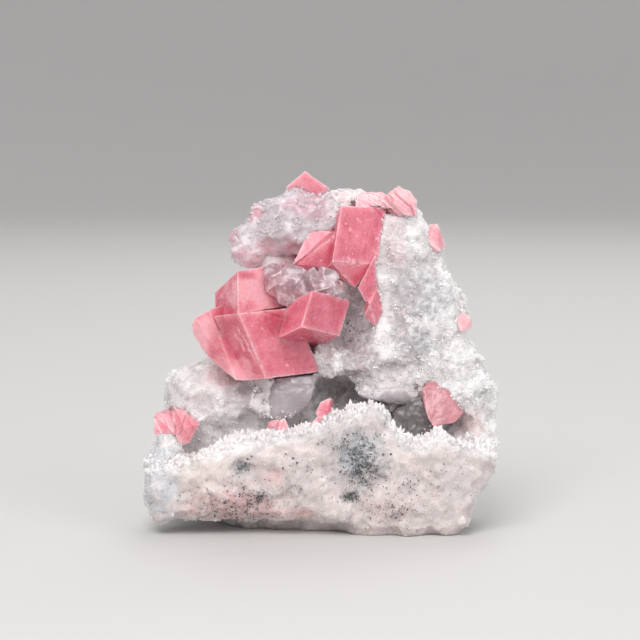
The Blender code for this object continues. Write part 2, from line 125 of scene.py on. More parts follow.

# Stains of the stone, and some patches of painted shade and painted light on it: x, z of
# the middle, half width, half height, where they start and end, colour, strength
STAINS_AND_SHADING = (
    (-15.5, 20.0, 9.5, 6.0, ANYWHERE, (0.82, 0.745, 0.755), 0.7),
    (5.0, 15.0, 6.2, 2.4, ON_FRONT, (0.52, 0.52, 0.52), 0.6),
    (5.6, 11.7, 4.0, 4.4, ON_FRONT, (0.40, 0.42, 0.45), 0.9),
    (6.2, 10.9, 2.0, 2.2, ON_FRONT, (0.22, 0.235, 0.25), 1.0),
    (4.1, 6.2, 1.5, 0.8, ON_FRONT, (0.16, 0.17, 0.19), 1.0),
    (-11.9, 10.5, 1.7, 1.5, ON_FRONT, (0.36, 0.365, 0.375), 1.0),
    (-9.6, 6.0, 2.2, 1.3, ON_FRONT, (0.34, 0.30, 0.32), 0.9),
    (-12.5, 4.6, 7.6, 3.4, ON_FRONT, (0.66, 0.44, 0.435), 1.0),
    (-7.7, 9.0, 1.9, 1.6, ON_FRONT, (0.82, 0.56, 0.55), 0.7),
    (-4.4, 3.5, 3.6, 1.5, ON_FRONT, (0.86, 0.58, 0.58), 0.8),
    (10.0, 4.1, 4.0, 2.6, ON_FRONT, (0.70, 0.56, 0.55), 0.6),
    (23.4, 16.4, 2.2, 2.4, (-20.0, -4.0), (0.80, 0.55, 0.55), 0.6),
    (-18.2, 9.9, 5.0, 3.2, ON_FRONT, (0.77, 0.68, 0.635), 1.1),
    (-24.9, 8.4, 3.8, 6.8, (-20.0, -2.0), (0.63, 0.64, 0.67), 1.1),
    (21.1, 8.4, 3.0, 3.4, ON_FRONT, (0.68, 0.66, 0.67), 0.5),
    (15.0, 35.0, 5.0, 3.6, ANYWHERE, (0.50, 0.49, 0.51), 1.3),
    (14.4, 28.6, 3.2, 3.2, ANYWHERE, (0.54, 0.53, 0.55), 1.1),
    (19.5, 24.5, 3.0, 2.6, ANYWHERE, (0.62, 0.60, 0.61), 0.6),
    (11.3, 44.0, 2.2, 5.6, ANYWHERE, (0.74, 0.60, 0.62), 0.7),
    (5.6, 51.2, 5.4, 2.0, ANYWHERE, (0.86, 0.66, 0.66), 0.6),
    # Painted shade: these two rows darken the wall of the pocket beside and under the main cluster's right
    # rhomb.
    (4.4, 30.0, 2.4, 7.0, ANYWHERE, (0.54, 0.49, 0.51), 1.2),
    (6.0, 25.8, 3.2, 4.2, ANYWHERE, (0.50, 0.43, 0.45), 1.5),
    (11.0, 22.0, 3.8, 2.2, ANYWHERE, (0.70, 0.63, 0.635), 0.9),
    (-4.6, 40.4, 3.6, 1.7, ANYWHERE, (0.64, 0.47, 0.50), 1.2),
    # Painted shade: these two rows darken the inside of the pocket and the trench behind the rim.
    (2.0, 19.6, 9.0, 2.6, IN_POCKET, (0.40, 0.37, 0.38), 0.9),
    (14.0, 18.0, 6.0, 3.6, IN_POCKET, (0.34, 0.31, 0.32), 0.9),
    (-11.5, 20.2, 4.2, 4.4, ANYWHERE, (0.60, 0.53, 0.55), 0.8),
    (-3.5, 36.8, 7.0, 3.2, ANYWHERE, (0.88, 0.50, 0.56), 0.9),
    (1.9, 24.8, 2.4, 3.4, ANYWHERE, (0.86, 0.84, 0.84), 1.0),
    (-15.4, 22.9, 3.4, 1.7, ANYWHERE, (0.82, 0.60, 0.62), 0.8),
    # Painted light: this row lightens the low front of the hump, where the rim shades it.
    (-14.6, 14.8, 7.4, 3.2, ANYWHERE, (0.95, 0.91, 0.915), 1.1),
)

# Pale patches of the pink crystals, and painted light on the top of the main cluster: x, z of the middle,
# half width, half height, strength
PALE_AND_LIT_SPOTS = (
    (-18.6, 29.6, 3.0, 4.6, 0.9),
    (-14.6, 24.4, 4.2, 2.4, 0.8),
    # Painted light: the top face of the main cluster, lit from above.
    (-8.6, 36.6, 5.4, 3.4, 0.9),
)

# Deep red places of the pink crystals, and places of painted shade on them, in the same terms
DEEP_AND_SHADED_SPOTS = (
    # Painted shade: the first two spots, low on the main cluster and under the clear lumps, and the last,
    # on the pocket's pink crystal. The rest are deep red.
    (-3.2, 27.0, 5.0, 1.8, 0.6), (-7.0, 31.8, 2.2, 1.6, 0.7), (-15.0, 27.6, 2.4, 5.0, 0.45),
    (1.6, 35.6, 1.0, 3.4, 0.5), (4.6, 34.2, 2.4, 1.6, 0.45), (18.6, 19.6, 4.6, 5.0, 1.1),
)

# Cracks of the crystal faces: x and z of both ends, half width
CRACKS = (
    (-3.8, 40.1, 1.7, 44.7, 0.34), (-8.4, 32.4, -7.0, 29.8, 0.28), (-8.5, 33.3, -5.8, 32.2, 0.30),
    (12.6, 49.6, 13.9, 48.7, 0.30), (13.9, 48.7, 14.6, 46.7, 0.34), (9.0, 49.6, 11.8, 46.9, 0.16),
    (10.2, 50.4, 13.0, 47.6, 0.14), (11.2, 50.8, 13.6, 48.6, 0.14), (7.4, 49.0, 9.4, 47.4, 0.14),
    (-23.0, 18.0, -22.2, 15.6, 0.16), (-20.6, 17.4, -21.4, 14.6, 0.16),
)

# White nicks on the crystal faces, x and z, and how far each runs down its face
NICKS = (
    (-10.0, 39.4, 0.3), (-10.6, 35.2, 0.4), (-13.7, 35.2, 0.5), (-15.2, 35.3, 0.4),
    (-12.8, 29.7, 0.9), (-11.1, 28.5, 0.7), (-10.5, 27.3, 0.6), (-11.8, 28.0, 0.9),
    (-10.2, 26.6, 0.6), (-8.9, 30.9, 0.3), (-5.2, 25.2, 0.4), (-2.9, 29.1, 0.3),
    (-12.4, 30.6, 0.8), (-11.6, 29.4, 0.8), (-10.9, 27.8, 0.5), (-12.1, 28.9, 1.0),
    (4.4, 45.3, 0.4), (5.5, 46.8, 0.3), (4.1, 41.0, 0.5), (4.8, 40.7, 0.4),
    (8.5, 43.7, 0.3), (0.0, 40.7, 0.3), (3.7, 46.2, 0.3),
)

# Cleaved crystals: the way their steps climb, height and width of a step
CLEAVAGE = {
    "top_cleaved_mass": ((0.65, 0.2, 0.76), 0.22, 0.8),
    "left_edge_crystals": ((0.90, 0.1, 0.40), 0.16, 1.2),
}

# Pink places of the milky lobes: x, z of the middle, half width, half height, strength
LOBE_BLUSHES = (
    (-10.5, 47.8, 1.5, 1.4, 0.9), (-13.9, 44.0, 1.2, 2.0, 0.8), (-8.4, 42.8, 1.6, 1.0, 0.4),
    (-1.6, 49.3, 3.6, 2.6, 0.6), (-12.0, 41.0, 2.2, 1.2, 0.2), (-3.6, 42.4, 2.4, 1.3, 0.4),
)

# Dark grains on the broken front of the shelf, x and z
DARK_GRAINS = (
    (-22.5, 8.1), (-14.0, 7.0), (-11.0, 11.8), (-10.4, 12.2), (-11.3, 11.1),
    (-5.3, 12.6), (-4.2, 12.0), (-4.7, 10.9), (-3.6, 11.4), (-5.7, 10.5),
    (-14.4, 5.3), (-13.4, 4.6), (-12.2, 6.5), (-8.9, 6.2), (-8.0, 5.6), (-7.4, 5.2),
    (-9.5, 4.1), (-11.3, 3.8), (-12.8, 3.3), (-16.0, 3.0), (9.2, 12.6), (10.3, 12.6),
    (0.1, 14.4), (-0.5, 14.1), (3.5, 14.9), (4.6, 11.1), (5.3, 10.2), (6.1, 12.2),
    (6.7, 9.9), (4.0, 6.2), (4.7, 5.8), (9.7, 7.5), (10.0, 6.7), (8.8, 4.6),
    (10.6, 5.0), (11.5, 4.1), (12.1, 3.5), (11.1, 3.0), (7.3, 2.9), (6.6, 1.2),
    (16.3, 10.0), (13.3, 7.6), (2.8, 9.9), (18.2, 42.4), (4.7, 49.2), (5.3, 48.7),
    (5.9, 48.9), (4.3, 31.0), (4.6, 30.2), (4.4, 29.4), (4.8, 28.9), (4.5, 28.0),
    (4.1, 30.6), (5.0, 29.8),
)

# Swarms of fine dark grains: x and z of the middle, half width, half height, number
DARK_SWARMS = (
    (6.0, 11.0, 3.2, 3.4, 900), (4.3, 6.1, 1.8, 0.8, 160), (-11.7, 10.7, 1.8, 1.8, 140),
    (-9.7, 6.0, 2.8, 1.7, 260), (-12.8, 4.4, 8.0, 3.6, 900), (10.6, 4.4, 4.4, 3.4, 320),
    (5.0, 14.6, 5.4, 2.4, 240), (15.0, 8.0, 8.0, 4.0, 160), (-2.0, 9.0, 5.0, 5.0, 120),
)

# Round lumps of the tuft under the right rhomb of the main cluster: middle and radius
TUFT_LUMPS = (
    (0.2, -3.9, 25.7, 1.7), (1.5, -4.3, 23.7, 1.7), (3.2, -4.1, 23.9, 1.5),
)

# Small blocks of quartz that close the pocket's corners: middle and radius
POCKET_LUMPS = (
    (15.6, -4.0, 20.7, 1.3), (14.0, -3.6, 20.2, 1.3), (15.3, -3.6, 22.0, 1.2),
    (11.2, -2.9, 18.3, 1.3), (12.7, -3.1, 18.9, 1.2), (10.0, -2.7, 17.8, 1.1),
)

# Glassy lumps: middle and radius
CLEAR_LUMPS = (
    (-6.6, -5.6, 37.5, 2.2), (-5.3, -6.4, 36.2, 1.7), (-4.2, -6.2, 38.2, 1.6),
    (-3.0, -6.3, 36.8, 2.0), (-1.6, -5.8, 38.1, 1.6), (-0.4, -6.2, 37.2, 1.9),
    (0.9, -5.4, 38.0, 1.6), (1.6, -5.6, 36.8, 1.6), (1.3, -6.6, 35.7, 1.1),
    (-4.9, -7.0, 35.3, 1.0),
)


# ---------------------------------------------------------------------------
# Settings

class QuartzSettings(bpy.types.PropertyGroup):
    """Sizes and colours of the quartz."""

    skin_grid: FloatProperty(
        name="Skin grid", description="Grid that the stone's skin is remeshed on",
        default=0.40 * MM, min=0.2 * MM, max=2 * MM, precision=5, unit="LENGTH")
    sink: FloatProperty(
        name="Sink", description="How far the skin lies under the tips of the druse",
        default=0.6 * MM, min=0.0, max=2 * MM, precision=5, unit="LENGTH")
    clump_height: FloatProperty(
        name="Clump height", description="Relief of the snowy clumps",
        default=0.80 * MM, min=0.0, max=2 * MM, precision=5, unit="LENGTH")
    grain_height: FloatProperty(
        name="Grain height", description="Relief of the grains of the skin",
        default=0.22 * MM, min=0.0, max=1 * MM, precision=5, unit="LENGTH")
    cover: FloatProperty(
        name="Cover", description="How closely the points of the druse stand",
        default=1.25, min=0.1, max=3.0, subtype="FACTOR")
    white: FloatVectorProperty(
        name="White", description="Colour of the snowy quartz",
        default=(0.88, 0.86, 0.855), min=0.0, max=1.0, subtype="COLOR")
    # Shade is painted shade: the colour given to the hollows between the clumps.
    shade: FloatVectorProperty(
        name="Shade", description="Colour of the quartz between the clumps",
        default=(0.64, 0.61, 0.615), min=0.0, max=1.0, subtype="COLOR")
    broken: FloatVectorProperty(
        name="Broken", description="Colour of the broken front of the shelf",
        default=(0.742, 0.648, 0.635), min=0.0, max=1.0, subtype="COLOR")
    milky: FloatVectorProperty(
        name="Milky", description="Colour of the milky lobes",
        default=(0.66, 0.585, 0.62), min=0.0, max=1.0, subtype="COLOR")
    grey: FloatVectorProperty(
        name="Grey", description="Colour of the grey crystals in the pocket",
        default=(0.50, 0.45, 0.48), min=0.0, max=1.0, subtype="COLOR")
    clear: FloatVectorProperty(
        name="Clear", description="Tint of the glassy lumps",
        default=(0.92, 0.74, 0.79), min=0.0, max=1.0, subtype="COLOR")


class PinkSettings(bpy.types.PropertyGroup):
    """Sizes and colours of the rhodochrosite."""

    spacing: FloatProperty(
        name="Spacing", description="Spacing of the points on a crystal face",
        default=0.36 * MM, min=0.1 * MM, max=2 * MM, precision=5, unit="LENGTH")
    bevel: FloatProperty(
        name="Edge", description="Width of the worn edges",
        default=0.12 * MM, min=0.0, max=1 * MM, precision=5, unit="LENGTH")
    ripple: FloatProperty(
        name="Ripple", description="Relief of the growth marks on the faces",
        default=0.05 * MM, min=0.0, max=0.5 * MM, precision=5, unit="LENGTH")
    # Dark also paints shade on some places of the crystals.
    dark: FloatVectorProperty(
        name="Dark", description="Colour of the deepest red places and cracks",
        default=(0.50, 0.07, 0.11), min=0.0, max=1.0, subtype="COLOR")
    deep: FloatVectorProperty(
        name="Deep", description="Colour in the middle of a face",
        default=(0.64, 0.125, 0.19), min=0.0, max=1.0, subtype="COLOR")
    body: FloatVectorProperty(
        name="Body", description="Colour of most of a face",
        default=(0.76, 0.20, 0.275), min=0.0, max=1.0, subtype="COLOR")
    # The edge colour is also the painted light near the edges of the faces.
    edge: FloatVectorProperty(
        name="Edge colour", description="Colour of the edges of a face",
        default=(0.86, 0.40, 0.45), min=0.0, max=1.0, subtype="COLOR")
    pale: FloatVectorProperty(
        name="Pale", description="Colour of the small pale crystals",
        default=(0.80, 0.32, 0.375), min=0.0, max=1.0, subtype="COLOR")
    faint: FloatVectorProperty(
        name="Faint", description="Colour of the palest crystals",
        default=(0.84, 0.52, 0.54), min=0.0, max=1.0, subtype="COLOR")


class StageSettings(bpy.types.PropertyGroup):
    """Floor, light and camera."""

    floor: FloatVectorProperty(
        name="Floor", description="Colour of the floor",
        default=(0.62, 0.61, 0.60), min=0.0, max=1.0, subtype="COLOR")
    distance: FloatProperty(
        name="Distance", description="Distance of the camera from the specimen",
        default=0.36, min=0.05, max=5.0, unit="LENGTH")
    elevation: FloatProperty(
        name="Elevation", description="Angle of the camera above the horizon",
        default=math.radians(6.0), min=0.0, max=1.5, subtype="ANGLE")
    lens: FloatProperty(
        name="Lens", description="Focal length in millimetres",
        default=130.65, min=20.0, max=400.0)


# ---------------------------------------------------------------------------
# Nodes

def new_finish(name):
    """A material with its tree and its shader."""
    material = bpy.data.materials.new(name)
    material.use_nodes = True
    tree = material.node_tree
    return material, tree, tree.nodes["Principled BSDF"]


def feed(tree, socket, value):
    """Puts a plain value or another node's output on a socket."""
    if isinstance(value, bpy.types.NodeSocket):
        tree.links.new(value, socket)
    elif hasattr(value, "__len__") and len(value) == 3 and socket.type == "RGBA":
        socket.default_value = (*value, 1.0)
    else:
        socket.default_value = value


def place(tree, stretch=(1.0, 1.0, 1.0), turn=(0.0, 0.0, 0.0)):
    """The place on the piece, stretched and turned."""
    coord = tree.nodes.new("ShaderNodeTexCoord")
    mapping = tree.nodes.new("ShaderNodeMapping")
    mapping.inputs["Scale"].default_value = stretch
    mapping.inputs["Rotation"].default_value = turn
    tree.links.new(coord.outputs["Object"], mapping.inputs["Vector"])
    return mapping.outputs["Vector"]


def cloud(tree, where, size, detail=3.0, rough=0.55):
    """Soft noise of a size in millimetres."""
    node = tree.nodes.new("ShaderNodeTexNoise")
    tree.links.new(where, node.inputs["Vector"])
    node.inputs["Scale"].default_value = 1.0 / (size * MM)
    node.inputs["Detail"].default_value = detail
    node.inputs["Roughness"].default_value = rough
    return node.outputs["Fac"]


def cells(tree, where, size):
    """Distance in cells of a size in millimetres."""
    node = tree.nodes.new("ShaderNodeTexVoronoi")
    tree.links.new(where, node.inputs["Vector"])
    node.inputs["Scale"].default_value = 1.0 / (size * MM)
    return node.outputs["Distance"]


def painted(tree, name, output="Color"):
    """An attribute of the mesh."""
    node = tree.nodes.new("ShaderNodeAttribute")
    node.attribute_name = name
    return node.outputs[output]


def spread(tree, value, low, high, to_low=0.0, to_high=1.0):
    """Maps a range of a value to another range, smoothly."""
    node = tree.nodes.new("ShaderNodeMapRange")
    node.interpolation_type = "SMOOTHSTEP"
    tree.links.new(value, node.inputs["Value"])
    node.inputs["From Min"].default_value = low
    node.inputs["From Max"].default_value = high
    node.inputs["To Min"].default_value = to_low
    node.inputs["To Max"].default_value = to_high
    return node.outputs["Result"]


def mixed(tree, factor, first, second, how="MIX"):
    """A colour between two."""
    node = tree.nodes.new("ShaderNodeMix")
    node.data_type = "RGBA"
    node.blend_type = how
    feed(tree, node.inputs[0], factor)
    feed(tree, node.inputs[6], first)
    feed(tree, node.inputs[7], second)
    return node.outputs[2]


def sums(tree, first, second, how="ADD"):
    """Arithmetic on two values."""
    node = tree.nodes.new("ShaderNodeMath")
    node.operation = how
    feed(tree, node.inputs[0], first)
    feed(tree, node.inputs[1], second)
    return node.outputs[0]


def raise_relief(tree, shader, height, depth, strength=1.0):
    """Relief of a depth in millimetres on a shader."""
    node = tree.nodes.new("ShaderNodeBump")
    node.inputs["Distance"].default_value = depth * MM
    node.inputs["Strength"].default_value = strength
    tree.links.new(height, node.inputs["Height"])
    tree.links.new(node.outputs["Normal"], shader.inputs["Normal"])


def glow(shader, weight, reach, radius):
    """Light that travels under the surface, reach in millimetres."""
    shader.inputs["Subsurface Weight"].default_value = weight
    shader.inputs["Subsurface Scale"].default_value = reach * MM
    shader.inputs["Subsurface Radius"].default_value = radius


def quartz_finish(name, rough, reach):
    """White quartz in grains, coloured by the stains and the painted shade and light of each place."""
    material, tree, shader = new_finish(name)
    where = place(tree)
    base = painted(tree, "stain_and_shading")
    fine = cloud(tree, where, 0.5, 4.0)
    dim = mixed(tree, spread(tree, fine, 0.35, 0.65, 0.0, 0.25), base, (0.74, 0.72, 0.73), "MULTIPLY")
    grains = cells(tree, where, 0.55)
    base = mixed(tree, spread(tree, grains, 0.0, 0.5, 0.10, 0.0), dim, (1.0, 1.0, 1.0))
    feed(tree, shader.inputs["Base Color"], base)
    feed(tree, shader.inputs["Roughness"], spread(tree, fine, 0.3, 0.7, rough, rough + 0.25))
    shader.inputs["IOR"].default_value = 1.54
    glow(shader, 0.7, reach, (1.0, 0.90, 0.88))
    height = sums(tree, sums(tree, fine, 0.6, "MULTIPLY"), sums(tree, grains, -0.8, "MULTIPLY"))
    raise_relief(tree, shader, height, 0.11, 0.6)
    return material


def point_finish(name):
    """Glassy white points of the druse."""
    material, tree, shader = new_finish(name)
    where = place(tree)
    fine = cloud(tree, where, 0.8, 3.0)
    dim = spread(tree, fine, 0.4, 0.7, 0.0, 0.25)
    base = mixed(tree, dim, painted(tree, "stain_and_shading"), (0.88, 0.86, 0.88), "MULTIPLY")
    feed(tree, shader.inputs["Base Color"], base)
    feed(tree, shader.inputs["Roughness"], spread(tree, fine, 0.3, 0.7, 0.42, 0.70))
    shader.inputs["IOR"].default_value = 1.54
    glow(shader, 0.3, 0.12, (1.0, 0.95, 0.94))
    raise_relief(tree, shader, cloud(tree, where, 0.25, 2.0), 0.02, 0.2)
    return material


def milky_finish(name, colour):
    """Translucent milky quartz, pinker towards its rims."""
    material, tree, shader = new_finish(name)
    where = place(tree)
    veil = cloud(tree, where, 2.6, 4.0, 0.6)
    fine = cloud(tree, where, 0.6, 4.0)
    base = mixed(tree, spread(tree, veil, 0.38, 0.72), colour, (0.80, 0.74, 0.77))
    base = mixed(tree, 1.0, base, painted(tree, "stain_and_shading"), "MULTIPLY")
    feed(tree, shader.inputs["Base Color"], base)
    feed(tree, shader.inputs["Roughness"], spread(tree, fine, 0.3, 0.7, 0.16, 0.42))
    shader.inputs["IOR"].default_value = 1.54
    shader.inputs["Transmission Weight"].default_value = 0.08
    glow(shader, 0.85, 1.6, (1.0, 0.86, 0.89))
    height = sums(tree, fine, sums(tree, cells(tree, where, 0.9), -0.7, "MULTIPLY"))
    raise_relief(tree, shader, height, 0.12, 0.6)
    return material


def clear_finish(name, colour):
    """Clear quartz, see-through, milky in clouds, with a painted highlight along its edges, and tinted with
    depth.
    """
    material, tree, shader = new_finish(name)
    where = place(tree)
    veil = cloud(tree, where, 2.0, 3.0)
    # Painted highlight: lighter and less see-through along the sharp edges, broken by a cloud.
    rim = spread(tree, painted(tree, "inset", "Fac"), 0.0, 0.32, 0.95, 0.0)
    rim = sums(tree, rim, spread(tree, cloud(tree, where, 1.1), 0.42, 0.62, 0.1, 1.0), "MULTIPLY")
    milk_and_rim_highlight = sums(tree, rim, spread(tree, veil, 0.40, 0.68, 0.10, 0.75), "MAXIMUM")
    feed(tree, shader.inputs["Base Color"], mixed(tree, milk_and_rim_highlight, colour, (0.96, 0.84, 0.87)))
    feed(tree, shader.inputs["Transmission Weight"], spread(tree, milk_and_rim_highlight, 0.0, 1.0, 0.86, 0.30))
    shader.inputs["IOR"].default_value = 1.54
    feed(tree, shader.inputs["Roughness"], spread(tree, veil, 0.35, 0.7, 0.03, 0.12))
    glow(shader, 0.6, 1.0, (1.0, 0.76, 0.80))
    raise_relief(tree, shader, cloud(tree, where, 1.1, 2.0), 0.06, 0.4)
    absorb = tree.nodes.new("ShaderNodeVolumeAbsorption")
    absorb.inputs["Color"].default_value = (0.90, 0.66, 0.73, 1.0)
    absorb.inputs["Density"].default_value = 45.0
    tree.links.new(absorb.outputs["Volume"], tree.nodes["Material Output"].inputs["Volume"])
    return material


def grey_finish(name, colour):
    """Smooth grey quartz that lets some light in."""
    material, tree, shader = new_finish(name)
    where = place(tree)
    veil = cloud(tree, where, 3.4, 3.0, 0.6)
    streak = cloud(tree, place(tree, (0.7, 1.0, 1.2), (0.0, 0.5, 0.0)), 1.0, 5.0)
    base = mixed(tree, spread(tree, veil, 0.35, 0.7), colour, (0.60, 0.54, 0.57))
    # The pale number carries painted shade and light here: dark below 1, lighter above 1.
    base = mixed(tree, painted(tree, "pale", "Fac"), (0.24, 0.22, 0.225), base)
    base = mixed(tree, spread(tree, painted(tree, "pale", "Fac"), 1.0, 2.0), base, (0.76, 0.70, 0.715))
    base = mixed(tree, spread(tree, streak, 0.58, 0.8, 0.0, 0.22), base, (0.78, 0.74, 0.76))
    feed(tree, shader.inputs["Base Color"], base)
    feed(tree, shader.inputs["Roughness"], spread(tree, streak, 0.3, 0.7, 0.16, 0.36))
    shader.inputs["IOR"].default_value = 1.54
    shader.inputs["Transmission Weight"].default_value = 0.2
    glow(shader, 0.6, 1.6, (1.0, 0.86, 0.88))
    raise_relief(tree, shader, streak, 0.05, 0.4)
    return material


def pink_finish(name, dark, deep, body, edge, lift):
    """Rhodochrosite: zoned along its edges, painted lighter near them with a painted highlight on them by
    lift, clouded inside.
    """
    material, tree, shader = new_finish(name)
    where = place(tree)
    inset = painted(tree, "inset", "Fac")
    veil = cloud(tree, where, 2.4, 3.0, 0.6)
    fine = cloud(tree, where, 0.45, 4.0, 0.65)
    base = mixed(tree, spread(tree, veil, 0.38, 0.66), deep, body)
    wander = sums(tree, inset, sums(tree, cloud(tree, where, 1.8), 1.6, "MULTIPLY"))
    zone = tree.nodes.new("ShaderNodeTexNoise")
    zone.noise_dimensions = "1D"
    tree.links.new(wander, zone.inputs["W"])
    zone.inputs["Scale"].default_value = 2.6
    zone.inputs["Detail"].default_value = 2.0
    bands = zone.outputs["Fac"]
    base = mixed(tree, spread(tree, bands, 0.50, 0.75, 0.0, 0.22), base, edge)
    base = mixed(tree, spread(tree, fine, 0.58, 0.78, 0.0, 0.35), base, edge)
    # Painted light: lighter within about a millimetre of the sharp edges, where light scatters through the
    # thin crystal.
    near = spread(tree, inset, 0.05, 1.0, 0.45, 0.0)
    base = mixed(tree, near, base, edge)
    # Pale patches and white nicks, and painted light on the top of the main cluster.
    base = mixed(tree, painted(tree, "pale", "Fac"), base, (0.92, 0.47, 0.52))
    # Painted highlight: a light line along the sharp edges, as strong as lift, broken by the veil.
    edge_highlight = spread(tree, inset, 0.02, 0.26, lift, 0.0)
    edge_highlight = sums(tree, edge_highlight, spread(tree, veil, 0.3, 0.6, 0.35, 1.0), "MULTIPLY")
    base = mixed(tree, edge_highlight, base, (0.95, 0.66, 0.68))
    fleck = spread(tree, cells(tree, where, 0.9), 0.06, 0.14, 0.75, 0.0)
    base = mixed(tree, fleck, base, (0.97, 0.76, 0.76))
    # Deep red places and cracks, and painted shade on some crystals, in the dark colour.
    base = mixed(tree, sums(tree, painted(tree, "red", "Fac"), 0.75, "MULTIPLY"), base, dark)
    feed(tree, shader.inputs["Base Color"], base)
    feed(tree, shader.inputs["Roughness"], spread(tree, fine, 0.35, 0.7, 0.20, 0.40))
    shader.inputs["IOR"].default_value = 1.65
    glow(shader, 0.55, 1.5, (1.0, 0.32, 0.36))
    height = sums(tree, sums(tree, fine, 0.5, "MULTIPLY"), sums(tree, bands, 0.9, "MULTIPLY"))
    raise_relief(tree, shader, height, 0.06, 0.5)
    return material


def dark_finish(name):
    """Dark grains of sulphide."""
    material, tree, shader = new_finish(name)
    fine = cloud(tree, place(tree), 0.3)
    feed(tree, shader.inputs["Base Color"], mixed(tree, fine, (0.05, 0.05, 0.055), (0.20, 0.20, 0.21)))
    feed(tree, shader.inputs["Roughness"], spread(tree, fine, 0.3, 0.7, 0.35, 0.6))
    shader.inputs["Metallic"].default_value = 0.4
    return material


def floor_finish(name, colour):
    """A plain matt floor."""
    material, tree, shader = new_finish(name)
    feed(tree, shader.inputs["Base Color"], colour)
    shader.inputs["Roughness"].default_value = 0.8
    return material


# ---------------------------------------------------------------------------
# Meshes

def solid_bmesh(node):
    """The surface of a solid with its loose triangles joined."""
    bm = bmesh.new()
    bm.from_mesh(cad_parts[node].data)
    bmesh.ops.remove_doubles(bm, verts=bm.verts, dist=0.003 * MM)
    return bm


def add_piece(name, mesh, material, slot, *replaced):
    """Puts a finished mesh in the scene as a piece of the specimen."""
    obj = bpy.data.objects.new(name, mesh)
    bpy.context.scene.collection.objects.link(obj)
    mesh.materials.clear()
    mesh.materials.append(material)
    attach(obj, BODY)
    if replaced:
        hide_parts(*replaced)
    return obj


def to_mesh(name, bm, smooth):
    """A mesh of a bmesh, smooth up to an angle in degrees."""
    mesh = bpy.data.meshes.new(name)
    bm.to_mesh(mesh)
    bm.free()
    shade(mesh, smooth)
    return mesh


def shade(mesh, smooth):
    """Smooth shading up to an angle in degrees."""
    mesh.polygons.foreach_set("use_smooth", [smooth > 0] * len(mesh.polygons))
    if smooth:
        mesh.set_sharp_from_angle(angle=math.radians(smooth))


def smoothed(bm, rounds):
    """Eases a bmesh by rounds of smoothing."""
    for _ in range(rounds):
        bmesh.ops.smooth_vert(
            bm, verts=bm.verts, factor=0.5, use_axis_x=True, use_axis_y=True, use_axis_z=True)


def remeshed(name, bm, grid, rounds):
    """A closed skin of even squares over a bmesh, eased by rounds of smoothing."""
    mesh = bpy.data.meshes.new(name)
    bm.to_mesh(mesh)
    bm.free()
    obj = bpy.data.objects.new(name, mesh)
    bpy.context.scene.collection.objects.link(obj)
    mod = obj.modifiers.new("skin", "REMESH")
    mod.mode = "VOXEL"
    mod.voxel_size = grid
    depsgraph = bpy.context.evaluated_depsgraph_get()
    skin = bpy.data.meshes.new_from_object(obj.evaluated_get(depsgraph))
    bpy.data.objects.remove(obj)
    bm = bmesh.new()
    bm.from_mesh(skin)
    smoothed(bm, rounds)
    bm.to_mesh(skin)
    bm.free()
    skin.name = name
    return skin


def points_of(mesh):
    """Places in millimetres and normals of a mesh's vertices."""
    count = len(mesh.vertices)
    places = np.empty(count * 3, np.float64)
    normals = np.empty(count * 3, np.float64)
    mesh.vertices.foreach_get("co", places)
    mesh.vertices.foreach_get("normal", normals)
    return places.reshape(-1, 3) / MM, normals.reshape(-1, 3)


def move_points(mesh, places):
    """Puts a mesh's vertices at places in millimetres, inside the solids' box."""
    low = np.array(SOLIDS_BOX[0])
    high = np.array(SOLIDS_BOX[1])
    mesh.vertices.foreach_set("co", np.clip(places * MM, low, high).ravel())
    mesh.update()


def paint_colours(mesh, name, colours):
    """A colour for each vertex."""
    layer = mesh.color_attributes.new(name, "FLOAT_COLOR", "POINT")
    full = np.ones((len(colours), 4), np.float32)
    full[:, :3] = colours
    layer.data.foreach_set("color", full.ravel())


def paint_numbers(mesh, name, numbers):
    """A number for each vertex."""
    layer = mesh.attributes.new(name, "FLOAT", "POINT")
    layer.data.foreach_set("value", np.asarray(numbers, np.float32))


def roughness_field(places, size, octaves, shift=0.0):
    """Fractal noise at many places, about -1 to 1."""
    offset = Vector((shift, shift * 0.7, -shift))
    return np.array([
        noise.fractal(Vector(p) / size + offset, 1.0, 2.1, octaves) for p in places])


def cell_field(places, size, shift=0.0):
    """Distance to the nearest of many cell centres, in cells."""
    offset = Vector((shift, -shift, shift * 0.6))
    return np.array([noise.voronoi(Vector(p) / size + offset)[0][0] for p in places])


def ease(value, low, high):
    """0 below low, 1 above high, smooth between."""
    t = np.clip((value - low) / (high - low), 0.0, 1.0)
    return t * t * (3.0 - 2.0 * t)


def rim_height(x):
    """Height of the shelf's rim above x."""
    xs, zs = zip(*RIM)
    return np.interp(x, xs, zs)


def broken_part(places, normals):
    """How far each place belongs to the broken front of the shelf, 0 to 1."""
    x, y, z = places.T
    front = ease(-y, 6.5, 8.5) * ease(-normals[:, 1], 0.15, 0.45)
    return front * ease(rim_height(x) - z, 0.3, 1.4)


def back_part(places, normals):
    """How far each place belongs to the broken back, 0 to 1."""
    return ease(normals[:, 1], 0.1, 0.5)


